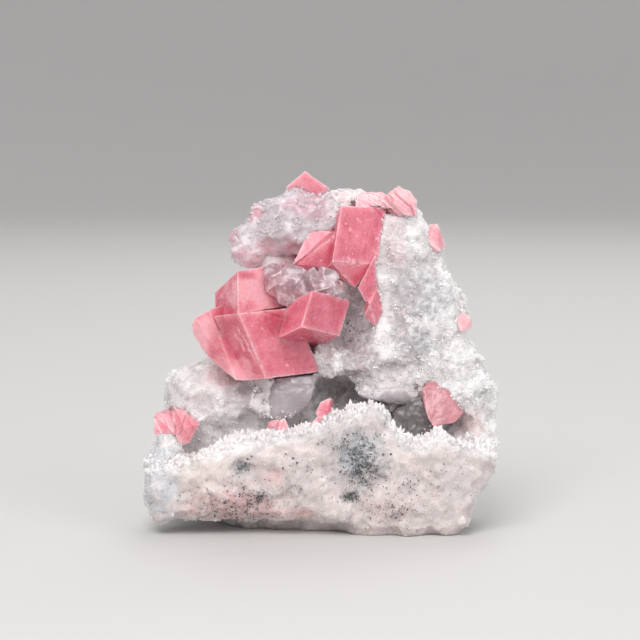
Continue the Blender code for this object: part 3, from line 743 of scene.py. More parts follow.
def stain_and_shading_colours(places, normals, quartz, rng=None):
    """The colour of the stone at each place, with its stains and its painted shade and light, grain by
    grain where rng is given.
    """
    x, y, z = places.T
    broken = broken_part(places, normals)
    below = ease(rim_height(x) - z, 0.8, 2.4) * broken
    # Painted shade: the stone takes the shade colour where the skin's clumps dip and the white where they
    # rise, from the same relief.
    clump = ease(roughness_field(places, 3.2, 4) + 0.25 * roughness_field(places, 1.1, 2, 7.0), -0.45, 0.25)
    back = back_part(places, normals)
    clump += (0.45 + 0.25 * clump - clump) * back
    white = np.array(quartz.white[:])
    hollow_shade = np.array(quartz.shade[:])
    colours = hollow_shade + (white - hollow_shade) * clump[:, None]
    cloudy = ease(roughness_field(places, 2.4, 4, 57.0), -0.35, 0.3)[:, None]
    face = np.array(quartz.broken[:]) * (0.88 + 0.17 * cloudy)
    colours += (face - colours) * (0.85 * below)[:, None]
    vein = 0.35 + 0.8 * ease(roughness_field(places, 0.9, 3, 71.0), -0.30, 0.20)
    chance = np.ones(len(places)) if rng is None else rng.uniform(0.45, 1.3, len(places))
    wobble = 0.45 * roughness_field(places, 2.2, 3, 13.0)
    for sx, sz, wide, tall, (near, far), colour, strength in STAINS_AND_SHADING:
        off = np.sqrt(((x - sx) / wide) ** 2 + ((z - sz) / tall) ** 2) + wobble
        part = strength * ease(-off, -1.25, -0.35)
        part *= ease(far - y, -1.0, 1.0) * ease(y - near, -1.0, 1.0)
        part = np.clip(part * chance * vein, 0.0, 1.0) * ease(-normals[:, 1], -0.6, 0.1)
        colours += (np.array(colour) - colours) * part[:, None]
    blush = 0.5 * ease(roughness_field(places, 6.5, 2, 31.0), 0.25, 0.6) * back
    colours += (np.array((0.74, 0.50, 0.50)) - colours) * blush[:, None]
    return colours


def grey_cover(places):
    """How far the stone has grown over the grey crystals at each place, 0 to 1."""
    x, y, z = places.T
    wave = 0.9 * roughness_field(places, 2.2, 2, 83.0)
    side = ease(-x + wave, 6.2, 8.6) * (x < 2.0)
    top = ease(z + wave, 20.3, 21.9) * (x > 3.0)
    return np.maximum(side, top)


def grown_over(bm, node):
    """Adds a copy of a grey crystal to the stone, swollen where the stone covers it."""
    part = solid_bmesh(node)
    bmesh.ops.triangulate(part, faces=part.faces)
    refine(part, 0.8 * MM)
    mesh = to_mesh("cover", part, 0)
    places, normals = points_of(mesh)
    move_points(mesh, places + normals * (1.3 * grey_cover(places) - 0.7)[:, None])
    bm.from_mesh(mesh)
    bpy.data.meshes.remove(mesh)


def surface_tree(nodes):
    """A search tree over the surfaces of some solids."""
    corners = []
    faces = []
    for node in nodes:
        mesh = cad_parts[node].data
        first = len(corners)
        corners += [v.co.copy() for v in mesh.vertices]
        faces += [[first + i for i in f.vertices] for f in mesh.polygons]
    return BVHTree.FromPolygons(corners, faces)


def mesh_tree(mesh):
    """A search tree over the surface of a finished mesh."""
    return BVHTree.FromPolygons(
        [v.co for v in mesh.vertices], [p.vertices for p in mesh.polygons])


def pulled_to(places, tree, near, far, inside):
    """Where each place goes when it is drawn into the solids beside it, and how much."""
    targets = places.copy()
    parts = np.zeros(len(places))
    for i, spot in enumerate(places):
        found, normal, _, distance = tree.find_nearest(Vector(spot) * MM, far * MM)
        if found is None:
            continue
        targets[i] = np.array(found - normal * inside * MM) / MM
        parts[i] = 1.0 - ease(np.array(distance / MM), near, far)
    return targets, parts


def hidden_in(tree, places):
    """Which places lie on or inside the solids of a tree."""
    hidden = np.zeros(len(places), bool)
    for i, spot in enumerate(places):
        found, normal, _, _ = tree.find_nearest(Vector(spot) * MM, 0.6 * MM)
        if found is not None:
            hidden[i] = (Vector(spot) * MM - found).dot(normal) < 0.05 * MM
    return hidden


def sharp_lines(bm, least):
    """The ends of a bmesh's outward edges that turn by more than an angle in degrees."""
    limit = math.radians(least)
    lines = [
        (e.verts[0].co / MM, e.verts[1].co / MM) for e in bm.edges
        if e.is_convex and e.calc_face_angle(0.0) > limit]
    return np.array([[tuple(a), tuple(b)] for a, b in lines])


def distance_to_lines(places, lines):
    """The distance of each place from the nearest of some lines."""
    best = np.full(len(places), 1e9)
    for start, end in lines:
        along = end - start
        t = np.clip((places - start) @ along / (along @ along), 0.0, 1.0)
        off = np.linalg.norm(places - start - t[:, None] * along, axis=1)
        best = np.minimum(best, off)
    return best


def refine(bm, spacing):
    """Cuts a bmesh's long edges until few are longer than the spacing."""
    for _ in range(REFINE_ROUNDS):
        long_edges = [e for e in bm.edges if e.calc_length() > spacing]
        if not long_edges:
            return
        bmesh.ops.subdivide_edges(bm, edges=long_edges, cuts=1)
        wide = [f for f in bm.faces if len(f.verts) > 3]
        bmesh.ops.triangulate(bm, faces=wide)


def nick_part(places, normals):
    """Where the white nicks are, 0 to 1."""
    x, y, z = places.T
    part = np.zeros(len(places))
    for sx, sz, tall in NICKS:
        lean = x - sx - 0.37 * (sz - z)
        off = np.sqrt((lean / 0.26) ** 2 + ((z - sz) / tall) ** 2)
        part = np.maximum(part, ease(-off, -1.0, -0.4))
    return part * (normals[:, 1] < -0.2)


def crack_part(places, normals):
    """Where the cracks are, 0 to 1."""
    ends = np.array(CRACKS)
    flat = places[:, (0, 2)] + 0.10 * roughness_field(places, 1.2, 2, 61.0)[:, None]
    part = np.zeros(len(places))
    for x1, z1, x2, z2, wide in ends:
        start, along = np.array((x1, z1)), np.array((x2 - x1, z2 - z1))
        t = np.clip((flat - start) @ along / (along @ along), 0.0, 1.0)
        off = np.linalg.norm(flat - start - t[:, None] * along, axis=1)
        part = np.maximum(part, ease(-off, -wide, -0.3 * wide))
    return part * (normals[:, 1] < 0.0)


def spot_part(places, spots):
    """How much each place belongs to some soft spots, 0 to 1."""
    x, y, z = places.T
    wobble = 0.5 * roughness_field(places, 2.0, 2, 23.0)
    part = np.zeros(len(places))
    for sx, sz, wide, tall, strength in spots:
        off = np.sqrt(((x - sx) / wide) ** 2 + ((z - sz) / tall) ** 2) + wobble
        part = np.maximum(part, strength * ease(-off, -1.2, -0.6))
    return part


def dressed_crystal(node, spacing, bevel, ripple, seed, least=28.0, rounds=0):
    """A flat-faced solid with worn edges and growth marks on its faces.

    Edges that turn by more than least degrees are marked for the finish's painted highlights; rounds of
    smoothing wear it.
    """
    bm = solid_bmesh(node)
    bmesh.ops.dissolve_limit(
        bm, angle_limit=math.radians(1.5), verts=bm.verts, edges=bm.edges)
    lines = sharp_lines(bm, least)
    sharp = [e for e in bm.edges if e.is_convex and e.calc_face_angle(0.0) > math.radians(12.0)]
    bmesh.ops.bevel(
        bm, geom=sharp, offset=bevel, offset_type="OFFSET", segments=2, profile=0.5,
        affect="EDGES", clamp_overlap=True, material=-1)
    bmesh.ops.triangulate(bm, faces=bm.faces)
    refine(bm, spacing)
    smoothed(bm, rounds)
    mesh = to_mesh(node + "_look", bm, 0)
    places, normals = points_of(mesh)
    inset = distance_to_lines(places, lines)
    swell = roughness_field(places, 1.6, 3, seed) * ripple / MM
    pits = ease(cell_field(places, 1.3, seed), 0.0, 0.22) - 1.0
    chips = ease(roughness_field(places, 0.9, 2, seed + 5.0), 0.35, 0.6) * ease(-inset, -0.45, -0.05)
    nicks = nick_part(places, normals)
    cracks = crack_part(places, normals)
    lift = swell + 0.08 * pits - 0.16 * chips - 0.10 * nicks - 0.14 * cracks
    if node in CLEAVAGE:
        way, height, width = CLEAVAGE[node]
        climb = places @ np.array(way) / width + 0.25 * roughness_field(places, 2.0, 2, seed)
        stair = climb - np.floor(climb)
        lift = lift + height * (stair - 0.8)
        # The steps' edges are marked as edges too, so the finish paints light along them.
        inset = np.minimum(inset, 0.25 + 0.5 * stair * width)
    # Pale patches, white nicks, and painted light on the top of the main cluster.
    pale = np.maximum(spot_part(places, PALE_AND_LIT_SPOTS), 0.9 * nicks)
    move_points(mesh, places + normals * lift[:, None])
    paint_numbers(mesh, "inset", inset)
    paint_numbers(mesh, "pale", pale)
    # Deep red places and cracks, and some places of painted shade.
    paint_numbers(mesh, "red", np.maximum(spot_part(places, DEEP_AND_SHADED_SPOTS), cracks))
    shade(mesh, 28.0)
    return mesh


def point_shape():
    """A six-sided quartz point, one unit long and one wide, with its foot at 0."""
    bm = bmesh.new()
    bmesh.ops.create_cone(
        bm, cap_ends=True, segments=6, radius1=0.5, radius2=0.46, depth=0.6,
        matrix=Matrix.Translation((0.0, 0.0, 0.3)))
    top = max(bm.faces, key=lambda f: f.calc_center_median().z)
    ring = list(top.verts)
    for i, vert in enumerate(ring):
        vert.co.z += 0.08 * (-1) ** i
    tip = bmesh.ops.poke(bm, faces=[top])["verts"][0]
    tip.co = (0.03, 0.02, 1.0)
    return bm


def grain_shape():
    """A stubby double point, one unit long and one wide, with its foot at 0."""
    bm = bmesh.new()
    bmesh.ops.create_cone(
        bm, cap_ends=True, segments=5, radius1=0.5, radius2=0.0, depth=0.6,
        matrix=Matrix.Translation((0.0, 0.0, 0.7)))
    foot = min(bm.faces, key=lambda f: f.calc_center_median().z)
    tip = bmesh.ops.poke(bm, faces=[foot])["verts"][0]
    tip.co = (0.0, 0.0, 0.0)
    return bm


def repeated(name, shape, spots, ways, widths, lengths, spins, colours):
    """One mesh with a shape at every spot, pointing each way."""
    base = np.array([tuple(v.co) for v in shape.verts])
    shape.verts.index_update()
    loops = np.array([v.index for f in shape.faces for v in f.verts])
    sizes = np.array([len(f.verts) for f in shape.faces])
    shape.free()
    ways = ways / np.linalg.norm(ways, axis=1)[:, None]
    helper = np.where(np.abs(ways[:, 2:3]) > 0.9, (1.0, 0.0, 0.0), (0.0, 0.0, 1.0))
    side = np.cross(helper, ways)
    side /= np.linalg.norm(side, axis=1)[:, None]
    other = np.cross(ways, side)
    cos, sin = np.cos(spins)[:, None], np.sin(spins)[:, None]
    side, other = side * cos + other * sin, other * cos - side * sin
    local = base[None, :, :]
    flat = widths[:, None, None]
    corners = spots[:, None, :] + flat * local[:, :, 0:1] * side[:, None, :]
    corners = corners + flat * local[:, :, 1:2] * other[:, None, :]
    corners = corners + lengths[:, None, None] * local[:, :, 2:3] * ways[:, None, :]
    count = len(spots)
    mesh = bpy.data.meshes.new(name)
    mesh.vertices.add(count * len(base))
    all_loops = (loops[None, :] + len(base) * np.arange(count)[:, None]).ravel()
    mesh.loops.add(len(all_loops))
    mesh.loops.foreach_set("vertex_index", all_loops.astype(np.int32))
    starts = np.concatenate(([0], np.cumsum(np.tile(sizes, count))[:-1]))
    mesh.polygons.add(len(starts))
    mesh.polygons.foreach_set("loop_start", starts.astype(np.int32))
    move_points(mesh, corners.reshape(-1, 3))
    mesh.update(calc_edges=True)
    mesh.validate()
    paint_colours(mesh, "stain_and_shading", np.repeat(colours, len(base), axis=0))
    return mesh


def sunk(spots, ways, depths):
    """Spots moved back along their ways, each by its depth."""
    return spots - ways / np.linalg.norm(ways, axis=1)[:, None] * depths[:, None]


def triangles_of(mesh):
    """Corners, normals and areas in square millimetres of a mesh's triangles."""
    mesh.calc_loop_triangles()
    count = len(mesh.loop_triangles)
    index = np.empty(count * 3, np.int32)
    mesh.loop_triangles.foreach_get("vertices", index)
    places, _ = points_of(mesh)
    corners = places[index.reshape(-1, 3)]
    cross = np.cross(corners[:, 1] - corners[:, 0], corners[:, 2] - corners[:, 0])
    double = np.linalg.norm(cross, axis=1)
    return corners, cross / np.maximum(double, 1e-12)[:, None], double / 2.0


def settled(corners, normals, areas):
    """The same triangles, in an order that doesn't depend on how their mesh lists them."""
    start = np.argmin(corners @ np.array((1.0, 0.37, 0.11)), axis=1)
    index = (start[:, None] + np.arange(3)) % 3
    corners = np.take_along_axis(corners, index[:, :, None], axis=1)
    order = np.lexsort(np.round(corners.mean(axis=1), 3).T)
    return corners[order], normals[order], areas[order]


def scattered(corners, normals, weights, count, rng):
    """Random places and normals on triangles, more where the weight is more."""
    chosen = rng.choice(len(weights), size=count, p=weights / weights.sum())
    a, b = rng.random(count), rng.random(count)
    over = a + b > 1.0
    a[over], b[over] = 1.0 - a[over], 1.0 - b[over]
    first, second, third = corners[chosen].transpose(1, 0, 2)
    return first + a[:, None] * (second - first) + b[:, None] * (third - first), normals[chosen]


# ---------------------------------------------------------------------------
# Pieces

class SPECIMEN_OT_skin(bpy.types.Operator):
    """Lay the grainy skin of the quartz over its solid"""

    bl_idname = "specimen.skin"
    bl_label = "Quartz skin"

    def execute(self, context):
        quartz = context.scene.specimen_quartz
        stone = solid_bmesh("quartz_matrix")
        for node in GREY_NODES:
            grown_over(stone, node)
        for x, y, z, radius in TUFT_LUMPS:
            middle = Matrix.Translation(Vector((x, y, z)) * MM)
            bmesh.ops.create_icosphere(stone, subdivisions=3, radius=radius * MM, matrix=middle)
        mesh = remeshed("quartz_skin", stone, quartz.skin_grid, 5)
        places, normals = points_of(mesh)
        broken = broken_part(places, normals)
        back = back_part(places, normals)
        calm = np.maximum(broken, back)
        clump = roughness_field(places, 3.2, 4) + 0.25 * roughness_field(places, 1.1, 2, 7.0)
        grain = roughness_field(places, 0.9, 3, 19.0)
        facet = 0.4 - cell_field(places, 1.3, 3.0)
        chips = (0.45 - cell_field(places, 2.6, 8.0)) * calm
        chips += 1.3 * (0.45 - cell_field(places, 5.5, 14.0)) * back
        lift = np.clip(clump, -0.9, 0.9) * quartz.clump_height / MM * (1.0 - 0.3 * calm)
        lift += (grain + 0.9 * facet + 1.6 * chips) * quartz.grain_height / MM
        depth = quartz.sink / MM * (1.0 - 0.45 * calm)
        moved = places + normals * np.minimum(lift - depth, 0.15)[:, None]
        under = ease(-normals[:, 2], 0.5, 0.8) * ease(-places[:, 2], -0.6, -0.2)
        moved[:, 2] += (0.0 - moved[:, 2]) * under
        targets, parts = pulled_to(places, surface_tree(PINK_NODES), 0.75, 1.3, 0.15)
        moved += (targets - moved) * parts[:, None]
        targets, parts = pulled_to(places, surface_tree(GREY_NODES), 0.75, 1.3, 0.15)
        moved += (targets - moved) * (parts * (1.0 - grey_cover(places)))[:, None]
        tree = surface_tree(("milky_quartz_lobes", "clear_crystals"))
        targets, parts = pulled_to(places, tree, 0.75, 1.5, 0.7)
        moved += (targets - moved) * parts[:, None]
        move_points(mesh, moved)
        paint_colours(mesh, "stain_and_shading", stain_and_shading_colours(places, normals, quartz))
        shade(mesh, 180.0)
        finish = quartz_finish("quartz_grain", 0.34, 1.2)
        add_piece("quartz_skin", mesh, finish, "quartz_matrix", "quartz_matrix")
        return {"FINISHED"}


def druse_sizes(places, normals):
    """Width and length in millimetres of the druse's points at each place."""
    x, y, z = places.T
    broken = broken_part(places, normals)
    back = back_part(places, normals)
    wall = ease(x, 3.0, 8.0) * ease(z, 15.0, 18.0)
    width = 0.34 + 0.06 * wall
    length = 0.48 + 0.10 * wall
    hump = ease(-x, 4.0, 7.0) * ease(z, 13.0, 15.0)
    width *= 1.0 - 0.20 * hump
    length *= 1.0 - 0.35 * hump
    width += (0.31 - width) * np.maximum(broken, back)
    length += (0.26 - length) * np.maximum(broken, back)
    return width, length


class SPECIMEN_OT_druse(bpy.types.Operator):
    """Grow the fine quartz points all over the skin"""

    bl_idname = "specimen.druse"
    bl_label = "Druse"

    def execute(self, context):
        quartz = context.scene.specimen_quartz
        rng = np.random.default_rng(SEED)
        skin = bpy.data.objects["quartz_skin"].data
        corners, normals, areas = triangles_of(skin)
        middles = corners.mean(axis=1)
        width, _ = druse_sizes(middles, normals)
        weights = areas / width ** 2
        weights *= middles[:, 2] > 0.25
        weights *= 1.0 - 0.35 * back_part(middles, normals)
        tree = surface_tree(PINK_NODES + GREY_NODES + ("milky_quartz_lobes", "clear_crystals"))
        weights[hidden_in(tree, middles)] = 0.0
        low = np.maximum(broken_part(middles, normals), back_part(middles, normals)) > 0.5
        weights *= 1.0 - 0.8 * ease(-normals[:, 2], 0.1, 0.5) * ease(-middles[:, 2], -2.0, -1.0)
        for name, shape, part, share in (
                ("druse", point_shape, weights * ~low * DRUSE_COVER, DRUSE_A_PIECE),
                ("sugar", grain_shape, weights * low * SUGAR_COVER, SUGAR_A_PIECE)):
            self.grow(name, shape, corners, normals, part, share, rng, quartz)
        return {"FINISHED"}

    def grow(self, name, shape, corners, normals, weights, share, rng, quartz):
        """One kind of point, in pieces of a share each."""
        count = int(weights.sum() * quartz.cover)
        spots, facing = scattered(corners, normals, weights, count, rng)
        order = np.argsort(spots[:, 0])
        spots, facing = spots[order], facing[order]
        width, length = druse_sizes(spots, facing)
        vary = rng.lognormal(0.0, 0.26, count)
        width = width * vary
        length = length * vary * rng.uniform(0.75, 1.2, count)
        ways = facing + rng.normal(0.0, 0.26, (count, 3))
        colours = stain_and_shading_colours(spots, facing, quartz, rng)
        colours = np.clip(colours * rng.uniform(0.98, 1.10, (count, 1)) + 0.03, 0.0, 0.93)
        spins = rng.uniform(0.0, math.tau, count)
        spots = sunk(spots, ways, 0.70 * length)
        finish = point_finish("quartz_" + name)
        for part in range(math.ceil(count / share)):
            some = slice(part * share, (part + 1) * share)
            mesh = repeated(
                f"{name}_{part + 1}", shape(), spots[some], ways[some], width[some],
                length[some], spins[some], colours[some])
            shade(mesh, 40.0)
            add_piece(f"{name}_{part + 1}", mesh, finish, "quartz_matrix")


class SPECIMEN_OT_teeth(bpy.types.Operator):
    """Stand the comb of longer points along the shelf's rim"""

    bl_idname = "specimen.teeth"
    bl_label = "Rim teeth"

    def execute(self, context):
        quartz = context.scene.specimen_quartz
        rng = np.random.default_rng(SEED + 1)
        skin = bpy.data.objects["quartz_skin"].data
        corners, normals, areas = triangles_of(skin)
        middles = corners.mean(axis=1)
        x, y, z = middles.T
        near = ease(-np.abs(z - rim_height(x) + 0.6), -1.0, -0.4)
        weights = areas * near * (y < -7.0) * ease(normals[:, 2], 0.2, 0.6)
        count = TOOTH_COUNT
        spots, facing = scattered(corners, normals, weights, count, rng)
        width = rng.uniform(0.36, 0.80, count)
        length = rng.uniform(0.6, 1.35, count)
        ways = facing * 0.6 + (0.0, -0.2, 0.9) + rng.normal(0.0, 0.34, (count, 3))
        colours = stain_and_shading_colours(spots, facing, quartz) * 0.18 + (0.745, 0.72, 0.715)
        spins = rng.uniform(0.0, math.tau, count)
        spots = sunk(spots, ways, 0.3 * length)
        mesh = repeated("rim_teeth", point_shape(), spots, ways, width, length, spins, colours)
        shade(mesh, 0)
        add_piece("rim_teeth", mesh, point_finish("quartz_teeth"), "quartz_matrix")
        return {"FINISHED"}


class SPECIMEN_OT_lobes(bpy.types.Operator):
    """Dress the milky quartz lobes with knobs and low points"""

    bl_idname = "specimen.lobes"
    bl_label = "Milky lobes"

    def execute(self, context):
        quartz = context.scene.specimen_quartz
        rng = np.random.default_rng(SEED + 2)
        mesh = remeshed("milky_lobes", solid_bmesh("milky_quartz_lobes"), 0.3 * MM, 3)
        places, normals = points_of(mesh)
        knobs = 0.42 - cell_field(places, 2.4, 9.0)
        small = 0.4 - cell_field(places, 1.0, 4.0)
        lift = 0.75 * knobs + 0.26 * small - 0.30
        tree = surface_tree(PINK_NODES + ("clear_crystals",))
        targets, parts = pulled_to(places, tree, 0.6, 1.1, 0.15)
        moved = places + normals * lift[:, None]
        moved += (targets - moved) * parts[:, None]
        move_points(mesh, moved)
        colours = np.ones((len(places), 3))
        blush = spot_part(places, LOBE_BLUSHES)
        colours += (np.array((1.0, 0.60, 0.66)) - colours) * blush[:, None]
        colours *= 1.0 + 0.25 * ease(-places[:, 2], -43.6, -41.4)[:, None]
        paint_colours(mesh, "stain_and_shading", colours)
        shade(mesh, 180.0)
        finish = milky_finish("milky_quartz", quartz.milky)
        add_piece("milky_lobes", mesh, finish, "milky_quartz", "milky_quartz_lobes")
        corners, facing, areas = triangles_of(mesh)
        tree = surface_tree(PINK_NODES + ("clear_crystals", "quartz_matrix"))
        weights = areas * (0.15 + 0.85 * ease(facing[:, 2], -0.5, 0.2))
        weights[hidden_in(tree, corners.mean(axis=1))] = 0.0
        count = MILKY_POINT_COUNT
        spots, ways = scattered(corners, facing, weights, count, rng)
        ways = ways + rng.normal(0.0, 0.35, (count, 3))
        width = rng.uniform(0.35, 0.85, count)
        length = rng.uniform(0.4, 0.7, count)
        spots = sunk(spots, ways, 0.62 * length)
        colours = np.array((0.66, 0.58, 0.61)) * rng.uniform(0.92, 1.08, (count, 1))
        mesh = repeated(
            "milky_points", point_shape(), spots, ways, width, length,
            rng.uniform(0.0, math.tau, count), np.clip(colours, 0.0, 1.0))
        shade(mesh, 40.0)
        add_piece("milky_points", mesh, point_finish("milky_quartz_points"), "milky_quartz")
        return {"FINISHED"}


def faceted_lump(radius, cuts, rng):
    """A clear lump with flat facets, cut from a ball."""
    bm = bmesh.new()
    bmesh.ops.create_icosphere(bm, subdivisions=2, radius=radius)
    for _ in range(cuts):
        way = Vector(rng.normal(0.0, 1.0, 3)).normalized()
        result = bmesh.ops.bisect_plane(
            bm, geom=bm.verts[:] + bm.edges[:] + bm.faces[:], plane_co=way * radius * rng.uniform(0.5, 0.8),
            plane_no=way, clear_outer=True)
        edges = [g for g in result["geom_cut"] if isinstance(g, bmesh.types.BMEdge)]
        if edges:
            bmesh.ops.contextual_create(bm, geom=edges)
    bmesh.ops.recalc_face_normals(bm, faces=bm.faces)
    return bm


def joined(first, second):
    """Two closed bodies as one, with nothing left inside."""
    objects = []
    for mesh in (first, second):
        obj = bpy.data.objects.new("part", mesh)
        bpy.context.scene.collection.objects.link(obj)
        objects.append(obj)
    mod = objects[0].modifiers.new("join", "BOOLEAN")
    mod.operation = "UNION"
    mod.solver = "EXACT"
    mod.object = objects[1]
    depsgraph = bpy.context.evaluated_depsgraph_get()
    mesh = bpy.data.meshes.new_from_object(objects[0].evaluated_get(depsgraph))
    for obj in objects:
        bpy.data.objects.remove(obj)
    return mesh


class SPECIMEN_OT_clear(bpy.types.Operator):
    """Set the glassy lumps on the main cluster"""

    bl_idname = "specimen.clear"
    bl_label = "Clear quartz"

    def execute(self, context):
        quartz = context.scene.specimen_quartz
        rng = np.random.default_rng(SEED + 3)
        whole = None
        for x, y, z, radius in CLEAR_LUMPS:
            lump = faceted_lump(1.3 * radius * MM, 11, rng)
            stretch = Vector(rng.uniform(0.75, 1.2, 3))
            lump.transform(Matrix.Diagonal((*stretch, 1.0)))
            lump.transform(Matrix.Translation(Vector((x, y, z)) * MM))
            bmesh.ops.recalc_face_normals(lump, faces=lump.faces)
            mesh = to_mesh("clear_lumps", lump, 0)
            whole = mesh if whole is None else joined(whole, mesh)
        bm = bmesh.new()
        bm.from_mesh(whole)
        lines = sharp_lines(bm, 16.0)
        bmesh.ops.triangulate(bm, faces=bm.faces)
        refine(bm, 0.3 * MM)
        smoothed(bm, 1)
        mesh = to_mesh("clear_lumps", bm, 0)
        places, normals = points_of(mesh)
        # Its sharp edges carry the painted highlight of the finish.
        paint_numbers(mesh, "inset", distance_to_lines(places, lines))
        swell = 0.05 * roughness_field(places, 0.8, 2, 5.0)
        move_points(mesh, places + normals * swell[:, None])
        shade(mesh, 35.0)
        add_piece(
            "clear_lumps", mesh, clear_finish("clear_quartz", quartz.clear), "clear_crystals",
            "clear_crystals")
        return {"FINISHED"}


class SPECIMEN_OT_pink(bpy.types.Operator):
    """Dress the pink rhombohedral crystals"""

    bl_idname = "specimen.pink"
    bl_label = "Rhodochrosite"

    def execute(self, context):
        pink = context.scene.specimen_pink
        # The last number of each finish is the strength of its painted edge highlight.
        strong = pink_finish("rhodochrosite", pink.dark, pink.deep, pink.body, pink.edge, 0.55)
        pale = pink_finish(
            "pale_rhodochrosite", (0.50, 0.22, 0.24), pink.body, pink.pale, (0.93, 0.62, 0.63), 0.6)
        faint = pink_finish("pink_quartz", pink.deep, pink.pale, pink.faint, (0.93, 0.76, 0.76), 0.5)
        for number, node in enumerate(PINK_NODES):
            big = node in ("main_rhomb_cluster", "upper_rhomb_cluster")
            finish = strong if big else faint if node in FAINT_NODES else pale
            # Edges that turn by more than 28 degrees on the big crystals and 62 on the others get the
            # painted highlight.
            mesh = dressed_crystal(
                node, pink.spacing * (1.0 if big else 0.6), pink.bevel, pink.ripple * (1.0 if big else 1.8),
                2.0 + 3.7 * number, 28.0 if big else 62.0, 0 if big else 1)
            add_piece(
                node + "_look", mesh, finish,
                "rhodochrosite" if big else "pale_rhodochrosite", node)
        return {"FINISHED"}


class SPECIMEN_OT_grey(bpy.types.Operator):
    """Dress the smooth grey crystals under the cluster and in the pocket"""

    bl_idname = "specimen.grey"
    bl_label = "Grey quartz"

    def execute(self, context):
        quartz = context.scene.specimen_quartz
        finish = grey_finish("grey_quartz", quartz.grey)
        for number, node in enumerate(GREY_NODES):
            mesh = dressed_crystal(node, 0.4 * MM, 0.3 * MM, 0.14 * MM, 50.0 + number, 90.0, 26)
            places, normals = points_of(mesh)
            move_points(mesh, places - normals * (0.5 * grey_cover(places))[:, None])
            x, y, z = places.T
            # Painted shade and light: the pocket crystals dark low in the pocket and light on top, the
            # plate darker towards the right.
            painted_light_and_shade = 1.0 if node == "grey_crystal_plate" else ease(z, 18.9, 20.2) + ease(z, 19.8, 21.2)
            painted_light_and_shade = painted_light_and_shade * (1.0 - 0.4 * ease(x, -6.0, -1.0) * (x < 0.0))
            mesh.attributes["pale"].data.foreach_set("value", painted_light_and_shade.astype(np.float32))
            add_piece(node + "_look", mesh, finish, "grey_crystals", node)
        return {"FINISHED"}


class SPECIMEN_OT_frost(bpy.types.Operator):
    """Creep the druse over the crystals' feet and close the pocket's corners with lumps"""

    bl_idname = "specimen.frost"
    bl_label = "Frost"

    def execute(self, context):
        quartz = context.scene.specimen_quartz
        rng = np.random.default_rng(SEED + 5)
        stone = surface_tree(("quartz_matrix",))
        cover = mesh_tree(bpy.data.objects["quartz_skin"].data)
        kept = []
        for name in [node + "_look" for node in PINK_NODES + GREY_NODES] + ["milky_lobes"]:
            corners, normals, areas = settled(*triangles_of(bpy.data.objects[name].data))
            middles = corners.mean(axis=1)
            grey = name.startswith("grey")
            reach = 2.6 if grey else 0.65
            patch = ease(roughness_field(middles, 1.6, 2, 41.0), -0.3, 0.2)
            weights = areas * patch
            for i, spot in enumerate(middles):
                if not weights[i]:
                    continue
                near = stone.find_nearest(Vector(spot) * MM, 2.2 * reach * MM)[3]
                ray = cover.ray_cast(
                    Vector(spot + 0.05 * normals[i]) * MM, Vector(normals[i]), 1.2 * MM)[0]
                if near is None or ray is not None:
                    weights[i] = 0.0
                else:
                    far = reach + (3.0 * ease(-spot[0], 6.0, 9.5) if grey else 0.0)
                    weights[i] *= 1.0 - ease(np.array(near / MM), 0.25 * far, far)
            count = int(weights.sum() / FROST_SPACE)
            if count:
                kept.append(scattered(corners, normals, weights, count, rng))
        spots = np.concatenate([k[0] for k in kept])
        facing = np.concatenate([k[1] for k in kept])
        count = len(spots)
        ways = facing + rng.normal(0.0, 0.4, (count, 3))
        width = rng.uniform(0.20, 0.42, count)
        length = width * rng.uniform(1.0, 1.5, count)
        spots = sunk(spots, ways, 0.45 * length)
        colours = np.clip(stain_and_shading_colours(spots, facing, quartz, rng) * 0.6 + 0.32, 0.0, 0.93)
        mesh = repeated(
            "frost", point_shape(), spots, ways, width, length,
            rng.uniform(0.0, math.tau, count), colours)
        shade(mesh, 0)
        add_piece("frost", mesh, point_finish("quartz_frost"), "quartz_matrix")
        lumps = None
        for x, y, z, radius in POCKET_LUMPS:
            lump = faceted_lump(radius * MM, 9, rng)
            lump.transform(Matrix.Translation(Vector((x, y, z)) * MM))
            mesh = to_mesh("pocket_lumps", lump, 0)
            lumps = mesh if lumps is None else joined(lumps, mesh)
        paint_colours(lumps, "stain_and_shading", np.ones((len(lumps.vertices), 3)) * (0.66, 0.60, 0.61))
        add_piece("pocket_lumps", lumps, point_finish("quartz_pocket"), "quartz_matrix")
        return {"FINISHED"}


class SPECIMEN_OT_grains(bpy.types.Operator):
    """Scatter the dark grains on the broken stone"""

    bl_idname = "specimen.grains"
    bl_label = "Dark grains"

    def execute(self, context):
        rng = np.random.default_rng(SEED + 4)
        tree = mesh_tree(bpy.data.objects["quartz_skin"].data)
        spots = []
        for x, z in DARK_GRAINS:
            found = tree.ray_cast(Vector((x * MM, -0.05, z * MM)), Vector((0.0, 1.0, 0.0)))[0]
            if found is not None:
                spots.append(np.array(found) / MM)
        sizes = list(rng.uniform(0.22, 0.50, len(spots)))
        for x, z, wide, tall, share in DARK_SWARMS:
            for _ in range(share):
                a, b = rng.normal(0.0, 0.5, 2)
                if noise.noise(Vector((x + a * wide, 3.0, z + b * tall)) / 0.9) < rng.uniform(-0.5, 0.2):
                    continue
                start = Vector(((x + a * wide) * MM, -0.05, (z + b * tall) * MM))
                found = tree.ray_cast(start, Vector((0.0, 1.0, 0.0)))[0]
                if found is not None and found.y < -6.0 * MM:
                    spots.append(np.array(found) / MM)
                    sizes.append(rng.choice(GRAIN_SIZES))
        spots = np.array(spots)
        count = len(spots)
        ways = rng.normal(0.0, 1.0, (count, 3))
        width = np.array(sizes)
        spots = sunk(spots, ways, 0.45 * width)
        spots[:, 1] -= 0.10
        mesh = repeated(
            "dark_grains", grain_shape(), spots, ways, width, width * 0.9,
            rng.uniform(0.0, math.tau, count), np.ones((count, 3)))
        shade(mesh, 0)
        add_piece("dark_grains", mesh, dark_finish("dark_sulphide"), "quartz_matrix")
        return {"FINISHED"}


